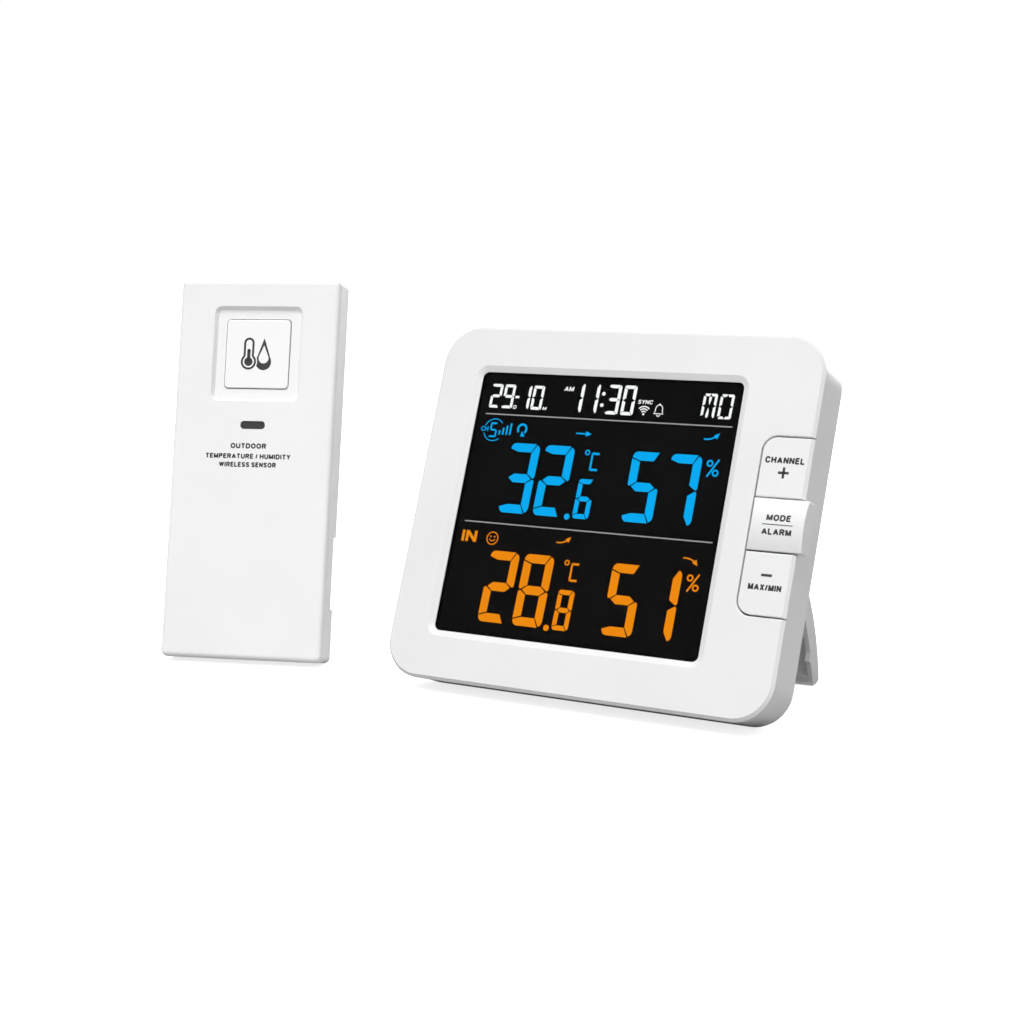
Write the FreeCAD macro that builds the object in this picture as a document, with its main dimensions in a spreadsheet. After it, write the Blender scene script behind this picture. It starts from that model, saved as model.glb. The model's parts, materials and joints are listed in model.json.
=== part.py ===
import FreeCAD, Part
import math
import os
import Sketcher
from FreeCAD import Placement, Rotation, Vector

# Home weather station: a tilted display unit on its fold-out stand, and a wireless outdoor
# sensor that leans back on its own prop leg. Millimetres. The row frame has +Z up, the fronts
# face -Y and the origin is on the table, at the middle of the whole set's box.
#
# Both units are drawn in a local frame: X to the viewer's right, Y from the front face into the
# unit, Z up the face. The display's local origin is the middle of its front face, the sensor's is
# the middle of its front face's bottom edge.

doc = FreeCAD.newDocument("WeatherStation")
sheet = doc.addObject("Spreadsheet::Sheet", "Sizes")


class Size:
    """A length: its value, and the spreadsheet formula that drives it."""

    def __init__(self, value, formula):
        self.value = value
        self.formula = formula

    def joined(self, other, sign, value, swapped=False):
        text = other.formula if isinstance(other, Size) else repr(float(other))
        pair = (text, self.formula) if swapped else (self.formula, text)
        return Size(value, "({} {} {})".format(pair[0], sign, pair[1]))

    def __add__(self, other):
        return self.joined(other, "+", self.value + number(other))

    def __radd__(self, other):
        return self.joined(other, "+", number(other) + self.value, swapped=True)

    def __sub__(self, other):
        return self.joined(other, "-", self.value - number(other))

    def __rsub__(self, other):
        return self.joined(other, "-", number(other) - self.value, swapped=True)

    def __mul__(self, other):
        return self.joined(other, "*", self.value * number(other))

    def __rmul__(self, other):
        return self.joined(other, "*", number(other) * self.value, swapped=True)

    def __truediv__(self, other):
        return self.joined(other, "/", self.value / number(other))

    def __neg__(self):
        return Size(-self.value, "(0 - {})".format(self.formula))


def number(length):
    """The plain value of a length, whether it is a Size or a number."""
    return length.value if isinstance(length, Size) else float(length)


def sheet_size(row, alias, value):
    """Puts one driving dimension in the spreadsheet and returns its Size."""
    sheet.set("A{}".format(row), alias)
    sheet.set("B{}".format(row), str(value))
    sheet.setAlias("B{}".format(row), alias)
    return Size(float(value), "Sizes." + alias)


def bind(item, name, length):
    """Drives a property of item from the sheet, or sets it when it is a plain number."""
    if isinstance(length, Size):
        item.setExpression(name, length.formula)
    elif "." in name:
        item.setExpression(name, repr(float(length)))
    else:
        setattr(item, name, length)


DRIVING = {
    # Display housing.
    "housing_width": 130.0,
    "housing_height": 113.6,
    "housing_corner": 12.0,
    "bezel_depth": 2.2,
    "edge_chamfer": 0.9,
    "parting_gap": 0.4,
    "parting_step": 0.5,
    "shell_wall": 1.8,
    "housing_depth": 21.3,
    "shell_draft": 1.5,
    "back_round": 5.0,
    # Window and what lies behind it.
    "window_width": 90.0,
    "window_height": 83.6,
    "window_left": 4.6,
    "window_rise": 0.4,
    "window_sink": 1.3,
    "window_land": 0.35,
    "bevel_width": 1.9,
    "window_margin": 2.0,
    # Keys on the right edge.
    "key_left": 49.65,
    "key_middle": 0.25,
    "key_bank_middle": 0.05,
    "key_bank_height": 52.6,
    "key_corner": 4.7,
    "key_gap": 0.45,
    "key_edge_round": 0.35,
    "mode_height": 15.7,
    "key_plate": 2.0,
    # Stand.
    "stand_width": 98.0,
    "stand_length": 75.3,
    "stand_wall": 1.5,
    "pivot_rise": 24.0,
    "pivot_depth": 24.0,
    "hub_radius": 2.5,
    "pin_radius": 1.2,
    "pin_running": 0.05,
    "stand_front": 2.0,
    # Display batteries.
    "cell_length": 44.5,
    "cell_radius": 5.25,
    "cell_pitch": 11.0,
    "bay_width": 51.0,
    "bay_height": 34.0,
    "bay_drop": 25.5,
    "bay_front": 9.0,
    "door_thick": 1.6,
    # Sensor.
    "sensor_width": 56.0,
    "sensor_height": 127.0,
    "sensor_depth": 9.5,
    "sensor_corner": 2.0,
    "sensor_wall": 1.6,
    "block_width": 43.0,
    "block_depth": 22.0,
    "block_bottom": 8.0,
    "block_top": 118.0,
    "seat_width": 30.8,
    "seat_height": 31.9,
    "seat_rise": 101.8,
    "seat_sink": 1.3,
    "icon_width": 22.1,
    "icon_height": 23.0,
    "sensor_cell_length": 50.5,
    "sensor_cell_radius": 7.05,
    "leg_width": 22.0,
    "leg_length": 51.3,
    "leg_rise": 54.0,
    "leg_depth": 20.4,
    "leg_hub": 2.0,
}
sizes = {}
for row, (alias, value) in enumerate(DRIVING.items(), start=1):
    sizes[alias] = sheet_size(row, alias, value)
doc.recompute()


class Sizes:
    """Attribute access to the spreadsheet's sizes."""


for alias, size in sizes.items():
    setattr(Sizes, alias, size)

# How the two units stand on the table.
DISPLAY_TILT = 21.02
SENSOR_LEAN = 12.7
SENSOR_YAW = 19.0
DISPLAY_X, DISPLAY_Y = 47.4, -15.4
SENSOR_X, SENSOR_Y = -76.0, -33.9


def lowest_of_shell():
    """How far the display's rounded back bottom edge lies below its local origin."""
    tilt = math.radians(DISPLAY_TILT)
    depth = number(Sizes.housing_depth - Sizes.back_round)
    start = number(Sizes.bezel_depth + Sizes.parting_gap)
    shrink = (depth - start) * math.tan(math.radians(number(Sizes.shell_draft)))
    half = number(Sizes.housing_height) / 2 - number(Sizes.parting_step) - shrink
    radius = number(Sizes.back_round)
    return radius + (half - radius) * math.cos(tilt) + depth * math.sin(tilt)


DISPLAY_RISE = lowest_of_shell()
SENSOR_RISE = number(Sizes.sensor_depth) * math.sin(math.radians(SENSOR_LEAN))
display_at = Placement(
    Vector(DISPLAY_X, DISPLAY_Y, DISPLAY_RISE), Rotation(Vector(1, 0, 0), -DISPLAY_TILT)
)
sensor_at = Placement(
    Vector(SENSOR_X, SENSOR_Y, SENSOR_RISE),
    Rotation(Vector(0, 0, 1), SENSOR_YAW).multiply(Rotation(Vector(1, 0, 0), -SENSOR_LEAN)),
)


def leg_angle(unit_rise, tilt_degrees, pivot_y, pivot_z, reach_y, reach_z):
    """The angle that brings a folded leg's foot down to the table, in degrees.

    The leg hangs from its pivot at (pivot_y, pivot_z) in a unit that leans back by tilt_degrees;
    the folded foot's contact point is (reach_y, reach_z) from the pivot.
    """
    tilt = math.radians(tilt_degrees)
    height = unit_rise + pivot_z * math.cos(tilt) - pivot_y * math.sin(tilt)
    reach = math.hypot(reach_y, reach_z)
    hanging = math.atan2(reach_y, -reach_z)
    return math.degrees(math.acos(height / reach) + tilt - hanging)


STAND_OPEN = leg_angle(
    DISPLAY_RISE,
    DISPLAY_TILT,
    number(Sizes.pivot_depth),
    number(Sizes.pivot_rise),
    -number(Sizes.stand_front),
    -number(Sizes.stand_length),
)
LEG_OPEN = leg_angle(
    SENSOR_RISE,
    SENSOR_LEAN,
    number(Sizes.leg_depth),
    number(Sizes.leg_rise),
    -number(Sizes.leg_hub),
    -number(Sizes.leg_length),
)
stand_at = display_at.multiply(
    Placement(
        Vector(0, number(Sizes.pivot_depth), number(Sizes.pivot_rise)),
        Rotation(Vector(1, 0, 0), STAND_OPEN),
    )
)
leg_at = sensor_at.multiply(
    Placement(
        Vector(0, number(Sizes.leg_depth), number(Sizes.leg_rise)),
        Rotation(Vector(1, 0, 0), LEG_OPEN),
    )
)

nodes = []


# ---------------------------------------------------------------- PartDesign helpers


class Piece:
    """A PartDesign body, drawn feature by feature in its unit's local frame."""

    def __init__(self, name, place):
        self.body = doc.addObject("PartDesign::Body", name)
        self.body.Label = name
        self.body.Placement = place
        self.count = 0
        nodes.append(self.body)

    def sketch(self, role, x, y, z):
        """A sketch on an origin plane, moved by (x, y) in the plane and z along its normal."""
        self.count += 1
        name = "{}_sketch{}".format(self.body.Name, self.count)
        made = self.body.newObject("Sketcher::SketchObject", name)
        plane = [item for item in self.body.Origin.OriginFeatures if item.Role == role][0]
        made.AttachmentSupport = (plane, [""])
        made.MapMode = "FlatFace"
        bind(made, "AttachmentOffset.Base.x", x)
        bind(made, "AttachmentOffset.Base.y", y)
        bind(made, "AttachmentOffset.Base.z", z)
        return made

    def rect_face(self, x, z, y, width, height, radius):
        """A rounded rectangle facing the front, its middle at (x, z), at depth y."""
        made = self.sketch("XZ_Plane", x, z, -y)
        rounded_rectangle(made, width, height, radius)
        return made

    def disc_face(self, x, z, y, radius):
        made = self.sketch("XZ_Plane", x, z, -y)
        circle(made, radius)
        return made

    def pad(self, profile, length, toward_back=True, taper=None):
        self.count += 1
        made = self.body.newObject("PartDesign::Pad", "{}_pad{}".format(self.body.Name, self.count))
        made.Profile = profile
        bind(made, "Length", length)
        made.Reversed = toward_back
        if taper is not None:
            bind(made, "TaperAngle", taper)
        doc.recompute()
        return made

    def pocket(self, profile, length, reverse=False):
        """Cuts away from the sketch's normal, or along it with reverse, and proves that it cut."""
        self.count += 1
        before = self.body.Shape.Volume
        made = self.body.newObject(
            "PartDesign::Pocket", "{}_pocket{}".format(self.body.Name, self.count)
        )
        made.Profile = profile
        bind(made, "Length", length)
        made.Reversed = reverse
        doc.recompute()
        if not self.body.Shape.Volume < before - 1e-3:
            raise RuntimeError("{} cut nothing".format(made.Name))
        return made

    def dress(self, kind, amount, chosen):
        """A Fillet or Chamfer on the tip's edges for which chosen(edge) is true."""
        tip = self.body.Tip
        names = []
        for index, edge in enumerate(tip.Shape.Edges, start=1):
            if chosen(edge):
                names.append("Edge{}".format(index))
        if not names:
            raise RuntimeError("no edge to dress on {}".format(self.body.Name))
        self.count += 1
        made = self.body.newObject(
            "PartDesign::" + kind, "{}_{}{}".format(self.body.Name, kind.lower(), self.count)
        )
        made.Base = (tip, names)
        bind(made, "Radius" if kind == "Fillet" else "Size", amount)
        tip.Visibility = False
        doc.recompute()
        if "Invalid" in made.State or made.Shape.isNull():
            raise RuntimeError("{} failed".format(made.Name))
        return made


def on_plane(axis, value, slack=0.01):
    """Chooses edges that lie in the plane axis = value of the local frame."""

    def chosen(edge):
        box = edge.BoundBox
        low = getattr(box, axis + "Min")
        high = getattr(box, axis + "Max")
        return abs(low - value) < slack and abs(high - value) < slack

    return chosen


def both(first, second):
    return lambda edge: first(edge) and second(edge)


def in_front_of(y):
    """Chooses edges that lie wholly in front of a depth."""
    return lambda edge: edge.BoundBox.YMax <= y


def reaching_behind(y):
    """Chooses edges that reach behind a depth."""
    return lambda edge: edge.BoundBox.YMax > y


def within(x_low, x_high, z_reach):
    """Chooses edges whose box lies inside a range of X and no farther than z_reach up or down."""

    def chosen(edge):
        box = edge.BoundBox
        inside = box.XMin >= x_low and box.XMax <= x_high
        return inside and box.ZMin >= -z_reach and box.ZMax <= z_reach

    return chosen


def along(axis):
    """Chooses straight edges that run along one axis."""

    def chosen(edge):
        box = edge.BoundBox
        spans = {"X": box.XLength, "Y": box.YLength, "Z": box.ZLength}
        others = [span for name, span in spans.items() if name != axis]
        return spans[axis] > 0.01 and max(others) < 0.01

    return chosen


def rounded_rectangle(sketch, width, height, radius):
    """A rectangle with round corners about the sketch's origin, its sizes driven by the sheet."""
    half_w = number(width) / 2
    half_h = number(height) / 2
    r = number(radius)
    flat = lambda x, y: Vector(x, y, 0)
    lines = [
        Part.LineSegment(flat(r - half_w, -half_h), flat(half_w - r, -half_h)),
        Part.LineSegment(flat(half_w, r - half_h), flat(half_w, half_h - r)),
        Part.LineSegment(flat(half_w - r, half_h), flat(r - half_w, half_h)),
        Part.LineSegment(flat(-half_w, half_h - r), flat(-half_w, r - half_h)),
    ]
    arcs = []
    for turn, (x, y) in enumerate(
        [
            (half_w - r, r - half_h),
            (half_w - r, half_h - r),
            (r - half_w, half_h - r),
            (r - half_w, r - half_h),
        ]
    ):
        start = math.radians(turn * 90 - 90)
        ring = Part.Circle(flat(x, y), Vector(0, 0, 1), r)
        arcs.append(Part.ArcOfCircle(ring, start, start + math.pi / 2))
    first = sketch.GeometryCount
    sketch.addGeometry(lines + arcs, False)
    limit = Sketcher.Constraint
    rules = []
    for side in range(4):
        rules.append(limit("Tangent", first + side, 2, first + 4 + side, 1))
        rules.append(limit("Tangent", first + 4 + side, 2, first + (side + 1) % 4, 1))
    rules.append(limit("Horizontal", first))
    rules.append(limit("Horizontal", first + 2))
    rules.append(limit("Vertical", first + 1))
    rules.append(limit("Vertical", first + 3))
    rules.append(limit("Equal", first + 4, first + 5))
    rules.append(limit("Equal", first + 4, first + 6))
    rules.append(limit("Equal", first + 4, first + 7))
    rules.append(limit("Symmetric", first + 4, 3, first + 6, 3, -1, 1))
    sketch.addConstraint(rules)
    drive(sketch, limit("Radius", first + 4, r), "rounding", radius)
    drive(sketch, limit("DistanceX", first + 3, 1, first + 1, 1, 2 * half_w), "across", width)
    drive(sketch, limit("DistanceY", first, 1, first + 2, 1, 2 * half_h), "tall", height)


def circle(sketch, radius):
    index = sketch.addGeometry(
        Part.Circle(Vector(0, 0, 0), Vector(0, 0, 1), number(radius)), False
    )
    sketch.addConstraint(Sketcher.Constraint("Coincident", index, 3, -1, 1))
    drive(sketch, Sketcher.Constraint("Radius", index, number(radius)), "rounding", radius)


def drive(sketch, rule, name, length):
    """Adds a dimension to a sketch under a name of its own and ties it to the sheet."""
    index = sketch.addConstraint(rule)
    unique = "{}{}".format(name, index)
    sketch.renameConstraint(index, unique)
    if isinstance(length, Size):
        sketch.setExpression("Constraints." + unique, length.formula)


def outline(sketch, points):
    """A closed outline of lines and arcs, held where it is drawn.

    Each point is (a, b), or (a, b, c, d) for an arc from the last point through (a, b) to (c, d).
    """
    ends = []
    for point in points:
        ends.append(Vector(*[number(v) for v in point[-2:]], 0))
    pieces = []
    for index, point in enumerate(points):
        start = ends[index - 1]
        if len(point) == 4:
            middle = Vector(number(point[0]), number(point[1]), 0)
            pieces.append(Part.Arc(start, middle, ends[index]))
        else:
            pieces.append(Part.LineSegment(start, ends[index]))
    first = sketch.GeometryCount
    sketch.addGeometry(pieces, False)
    for index in range(len(pieces)):
        sketch.addConstraint(Sketcher.Constraint("Block", first + index))


# ---------------------------------------------------------------- Part helpers


def box(name, low, high):
    """A Part::Box between two local corners."""
    made = doc.addObject("Part::Box", name)
    for key, axis in (("Length", 0), ("Width", 1), ("Height", 2)):
        bind(made, key, high[axis] - low[axis])
    for axis, letter in enumerate("xyz"):
        bind(made, "Placement.Base." + letter, low[axis])
    return made


TO_BACK = Rotation(Vector(1, 0, 0), -90)
TO_RIGHT = Rotation(Vector(0, 1, 0), 90)
UPWARD = Rotation()


def rod(name, start, length, radius, turn=TO_BACK):
    """A Part::Cylinder from a local point: toward the back, the right or upward."""
    made = doc.addObject("Part::Cylinder", name)
    bind(made, "Radius", radius)
    bind(made, "Height", length)
    made.Placement = Placement(Vector(*[number(v) for v in start]), turn)
    return made


def ring(name, centre, coil, wire, turn=TO_BACK):
    """A Part::Torus about a local axis."""
    made = doc.addObject("Part::Torus", name)
    bind(made, "Radius1", coil)
    bind(made, "Radius2", wire)
    made.Placement = Placement(Vector(*[number(v) for v in centre]), turn)
    return made


def fused(name, place, parts):
    """Several primitives as one node; parts that don't touch stay separate solids."""
    made = doc.addObject("Part::MultiFuse", name)
    made.Shapes = parts
    made.Label = name
    made.Placement = place
    nodes.append(made)
    return made


def group(name, place, parts):
    """Identical separate pieces that share one node."""
    made = doc.addObject("Part::Compound", name)
    made.Links = parts
    made.Label = name
    made.Placement = place
    nodes.append(made)
    return made


def cut(name, place, base, tools):
    made = doc.addObject("Part::Cut", name)
    made.Base = base
    if len(tools) == 1:
        made.Tool = tools[0]
    else:
        tool = doc.addObject("Part::MultiFuse", name + "_tools")
        tool.Shapes = tools
        made.Tool = tool
    made.Label = name
    made.Placement = place
    nodes.append(made)
    return made


def single(name, place, base):
    """One primitive as a node of its own."""
    return group(name, place, [base])


# ---------------------------------------------------------------- display: front bezel

S = Sizes
WINDOW_X = -S.window_left
WINDOW_Z = S.window_rise
SHELL_START = S.bezel_depth + S.parting_gap
CASE_SCREWS = [(x, z) for x in (-54.0, 54.0) for z in (-47.0, 47.0)]
SCREW_POST_START = 8.0
SCREW_PILOT = 1.1
KEY_CUT_RIGHT = 80.0
TONGUE_DEPTH, TONGUE_WALL = 3.0, 1.5


def key_bank(piece, depth_start, inset):
    """The outline of the whole bank of keys, running out past the housing's right edge."""
    left = S.key_left - S.key_gap / 2 + inset
    width = KEY_CUT_RIGHT - left
    height = S.key_bank_height + S.key_gap - 2 * inset
    return piece.rect_face(
        left + width / 2, S.key_bank_middle, depth_start, width, height, S.key_corner - inset
    )


def round_face_edges(piece, chosen):
    """Rounds the chosen edges of the front face, softening both sides of a key's seam."""
    piece.dress("Fillet", S.key_edge_round, both(on_plane("Y", 0), chosen))


def make_front_bezel():
    piece = Piece("front_bezel", display_at)
    piece.pad(
        piece.rect_face(0, 0, 0, S.housing_width, S.housing_height, S.housing_corner),
        S.bezel_depth,
    )
    piece.dress("Chamfer", S.edge_chamfer, on_plane("Y", 0))
    wide = S.window_width + 2 * S.bevel_width
    tall = S.window_height + 2 * S.bevel_width
    front = piece.rect_face(WINDOW_X, WINDOW_Z, 0, wide, tall, 4.0)
    bottom = piece.rect_face(
        WINDOW_X, WINDOW_Z, S.window_sink - S.window_land, S.window_width, S.window_height, 2.0
    )
    loft = piece.body.newObject("PartDesign::SubtractiveLoft", "front_bezel_bevel")
    loft.Profile = front
    loft.Sections = [bottom]
    doc.recompute()
    piece.pocket(
        piece.rect_face(
            WINDOW_X,
            WINDOW_Z,
            S.window_sink - S.window_land,
            S.window_width,
            S.window_height,
            2.0,
        ),
        S.window_land,
    )
    rebate_w = S.window_width + 2 * S.window_margin + 0.4
    rebate_h = S.window_height + 2 * S.window_margin + 0.4
    piece.pocket(
        piece.rect_face(WINDOW_X, WINDOW_Z, S.window_sink, rebate_w, rebate_h, 3.2),
        S.bezel_depth - S.window_sink,
    )
    # The tongue that sits inside the rear shell and shows dark in the parting gap.
    inset = S.parting_step + S.shell_wall + 0.15
    tongue = piece.rect_face(
        0,
        0,
        S.bezel_depth,
        S.housing_width - 2 * inset,
        S.housing_height - 2 * inset,
        S.housing_corner - inset,
    )
    rounded_rectangle(
        tongue,
        S.housing_width - 2 * (inset + TONGUE_WALL),
        S.housing_height - 2 * (inset + TONGUE_WALL),
        S.housing_corner - inset - TONGUE_WALL,
    )
    piece.pad(tongue, TONGUE_DEPTH)
    for x, z in CASE_SCREWS:
        piece.pad(piece.disc_face(x, z, S.bezel_depth, 3.2), SCREW_POST_START - S.bezel_depth)
        piece.pocket(piece.disc_face(x, z, 3.0, SCREW_PILOT), SCREW_POST_START - 3.0)
    piece.pocket(key_bank(piece, 0, 0), S.bezel_depth + TONGUE_DEPTH)
    seam_left = number(S.key_left) - 1.0
    seam_reach = number(S.key_bank_height) / 2 + 1.0
    round_face_edges(piece, within(seam_left, number(S.housing_width), seam_reach))


# ---------------------------------------------------------------- display: rear shell

BOARD_Y, BOARD_THICK = 9.4, 1.6
BOARD_SCREWS = [(x, z) for x in (-45.0, 43.0) for z in (2.5, 41.5)]
BUZZER_X, BUZZER_Z = 31.0, 40.0
INNER_STEP_DEPTH = 15.0
JACK_Y, JACK_Z, JACK_RADIUS = 12.5, -34.0, 4.0
SNOOZE_Y, SNOOZE_WIDTH, SNOOZE_DEPTH = 10.5, 36.0, 7.0
HOOK_Z, HOOK_RADIUS, HOOK_SLOT = 40.0, 4.0, 2.0
REAR_KEYS = {"search_key": -24.0, "unit_key": -36.0}
REAR_KEY_Z = 12.0
LUG_LOW, LUG_HIGH = 43.0, 47.2


def make_rear_shell():
    piece = Piece("rear_shell", display_at)
    width = S.housing_width - 2 * S.parting_step
    height = S.housing_height - 2 * S.parting_step
    corner = S.housing_corner - S.parting_step
    piece.pad(
        piece.rect_face(0, 0, SHELL_START, width, height, corner),
        S.housing_depth - SHELL_START,
        taper=-S.shell_draft,
    )
    piece.dress("Fillet", S.back_round, on_plane("Y", number(S.housing_depth)))
    inner_w = width - 2 * S.shell_wall
    inner_h = height - 2 * S.shell_wall
    inner_r = corner - S.shell_wall
    piece.pocket(
        piece.rect_face(0, 0, SHELL_START, inner_w, inner_h, inner_r),
        INNER_STEP_DEPTH - SHELL_START,
    )
    piece.pocket(
        piece.rect_face(0, 0, INNER_STEP_DEPTH, inner_w - 6.4, inner_h - 6.4, inner_r - 3.2),
        S.housing_depth - 2.0 - INNER_STEP_DEPTH,
    )
    # Battery bay: a box inside the back, opened from behind, with a step that seats the door.
    bay_floor = S.bay_front - 1.2
    piece.pad(
        piece.rect_face(0, -S.bay_drop, bay_floor, S.bay_width + 2.8, S.bay_height + 2.8, 2.0),
        S.housing_depth - 1.0 - bay_floor,
    )
    piece.pocket(
        piece.rect_face(0, -S.bay_drop, S.bay_front, S.bay_width, S.bay_height, 1.0),
        S.housing_depth - S.bay_front,
    )
    piece.pocket(
        piece.rect_face(
            0,
            -S.bay_drop,
            S.housing_depth - S.door_thick,
            S.bay_width + 1.6,
            S.bay_height + 1.6,
            1.6,
        ),
        S.door_thick,
    )
    # Screw posts, with a counterbore for each head.
    back_inside = S.housing_depth - 2.0
    for x, z in CASE_SCREWS:
        start = SCREW_POST_START + 0.1
        piece.pad(piece.disc_face(x, z, start, 3.6), back_inside + 0.5 - start)
        piece.pocket(piece.disc_face(x, z, start, 1.5), S.housing_depth - start)
        piece.pocket(piece.disc_face(x, z, back_inside, 2.9), 2.0)
    for x, z in BOARD_SCREWS:
        start = BOARD_Y + BOARD_THICK + 0.05
        piece.pad(piece.disc_face(x, z, start, 2.5), back_inside + 0.5 - start)
        piece.pocket(piece.disc_face(x, z, start, 0.9), 5.0)
    # Air slots for the room sensor: one slot, repeated upward.
    slot = piece.rect_face(-32.0, 29.0, back_inside - 1.0, 16.0, 1.4, 0.69)
    first = piece.pocket(slot, 4.0)
    rows = piece.body.newObject("PartDesign::LinearPattern", "rear_shell_slots")
    rows.Originals = [first]
    rows.Direction = (slot, ["V_Axis"])
    rows.Length = 15.0
    rows.Occurrences = 6
    piece.body.Tip = rows
    doc.recompute()
    # Sound holes over the buzzer: one hole, repeated round a circle.
    hole = piece.disc_face(BUZZER_X - 3.0, BUZZER_Z, back_inside - 1.0, 0.8)
    first = piece.pocket(hole, 4.0)
    around = piece.disc_face(BUZZER_X, BUZZER_Z, back_inside - 1.0, 0.8)
    holes = piece.body.newObject("PartDesign::PolarPattern", "rear_shell_sound_holes")
    holes.Originals = [first]
    holes.Axis = (around, ["N_Axis"])
    holes.Angle = 360.0
    holes.Occurrences = 6
    piece.body.Tip = holes
    doc.recompute()
    # Keyhole that hangs the unit on a wall screw.
    piece.pocket(piece.disc_face(0, HOOK_Z, back_inside - 1.0, HOOK_RADIUS), 4.0)
    piece.pocket(
        piece.rect_face(0, HOOK_Z + 4.5, back_inside - 1.0, 2 * HOOK_SLOT, 7.0, 1.9), 4.0
    )
    for x in REAR_KEYS.values():
        piece.pocket(piece.disc_face(x, REAR_KEY_Z, back_inside - 1.0, 3.2), 4.0)
    # Power jack opening in the left side, snooze key opening in the top.
    jack = piece.sketch("YZ_Plane", JACK_Y, JACK_Z, -55.0)
    circle(jack, JACK_RADIUS)
    piece.pocket(jack, 15.0)
    snooze = piece.sketch("XY_Plane", 0, SNOOZE_Y, 50.0)
    rounded_rectangle(snooze, SNOOZE_WIDTH, SNOOZE_DEPTH, 1.5)
    piece.pocket(snooze, 10.0, reverse=True)
    # Hinge lugs for the stand, with the holes that hold its pins.
    for side in (-1, 1):
        start = LUG_LOW if side > 0 else -LUG_HIGH
        lug = piece.sketch("YZ_Plane", 0, 0, start)
        pivot_y, pivot_z, r = S.pivot_depth, S.pivot_rise, S.hub_radius
        outline(
            lug,
            [
                (S.housing_depth - 0.5, pivot_z - 4.5),
                (pivot_y, pivot_z - r),
                (pivot_y + r, pivot_z, pivot_y, pivot_z + r),
                (S.housing_depth - 0.5, pivot_z + 4.5),
            ],
        )
        piece.pad(lug, LUG_HIGH - LUG_LOW, toward_back=False)
        hole = piece.sketch("YZ_Plane", pivot_y, pivot_z, LUG_LOW if side > 0 else -LUG_LOW)
        circle(hole, S.pin_radius)
        piece.pocket(hole, LUG_HIGH - LUG_LOW, reverse=side > 0)


# ---------------------------------------------------------------- display: window and its stack

STACK_START = 2.6
STACK_WIDTH, STACK_HEIGHT = 92.0, 85.6
PANEL_DEPTH, GUIDE_START, GUIDE_DEPTH, FRAME_END = 1.8, 4.5, 2.1, 7.4


def make_window_stack():
    window = Piece("lcd_window", display_at)
    window.pad(
        window.rect_face(
            WINDOW_X,
            WINDOW_Z,
            S.window_sink,
            S.window_width + 2 * S.window_margin,
            S.window_height + 2 * S.window_margin,
            3.0,
        ),
        1.2,
    )
    panel = Piece("lcd_panel", display_at)
    panel.pad(
        panel.rect_face(WINDOW_X, WINDOW_Z, STACK_START, STACK_WIDTH, STACK_HEIGHT, 0.5),
        PANEL_DEPTH,
    )
    guide = Piece("backlight_guide", display_at)
    guide.pad(
        guide.rect_face(WINDOW_X, WINDOW_Z, GUIDE_START, STACK_WIDTH, STACK_HEIGHT, 0.5),
        GUIDE_DEPTH,
    )
    frame = Piece("lcd_frame", display_at)
    frame.pad(
        frame.rect_face(
            WINDOW_X, WINDOW_Z, STACK_START, STACK_WIDTH + 3.4, STACK_HEIGHT + 3.4, 1.5
        ),
        FRAME_END - STACK_START,
    )
    frame.pocket(
        frame.rect_face(
            WINDOW_X, WINDOW_Z, STACK_START, STACK_WIDTH + 0.4, STACK_HEIGHT + 0.4, 0.7
        ),
        GUIDE_START + GUIDE_DEPTH - STACK_START,
    )
    frame.pocket(
        frame.rect_face(
            WINDOW_X, WINDOW_Z, STACK_START, STACK_WIDTH - 8.0, STACK_HEIGHT - 8.0, 2.0
        ),
        FRAME_END - STACK_START,
    )


# ---------------------------------------------------------------- display: keys

KEY_FLANGE_START, KEY_FLANGE_END, KEY_STEM_END = 2.5, 3.1, 3.3
KEY_CORE_RIGHT = 61.4
KEY_STEM_X = 56.0
MODE_BULGE, MODE_RIM, MODE_RIGHT = 1.8, 0.35, 66.9
MODE_SKIRT_LEFT, MODE_SKIRT_END = 65.3, 4.7
MODE_FLANK = 1.7
MODE_FLANGE_TALL = 12.0
MODE_EDGE_ROUND, MODE_SKIRT_ROUND = 0.45, 0.3


def key_span(above):
    """Lowest and highest Z of the plus key (above) or the minus key."""
    near = S.mode_height / 2 + S.key_gap / 2
    far = S.key_bank_height / 2 - S.key_gap / 2
    if above:
        return S.key_middle + near, S.key_bank_middle + far
    return S.key_bank_middle - far, S.key_middle - near


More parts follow.
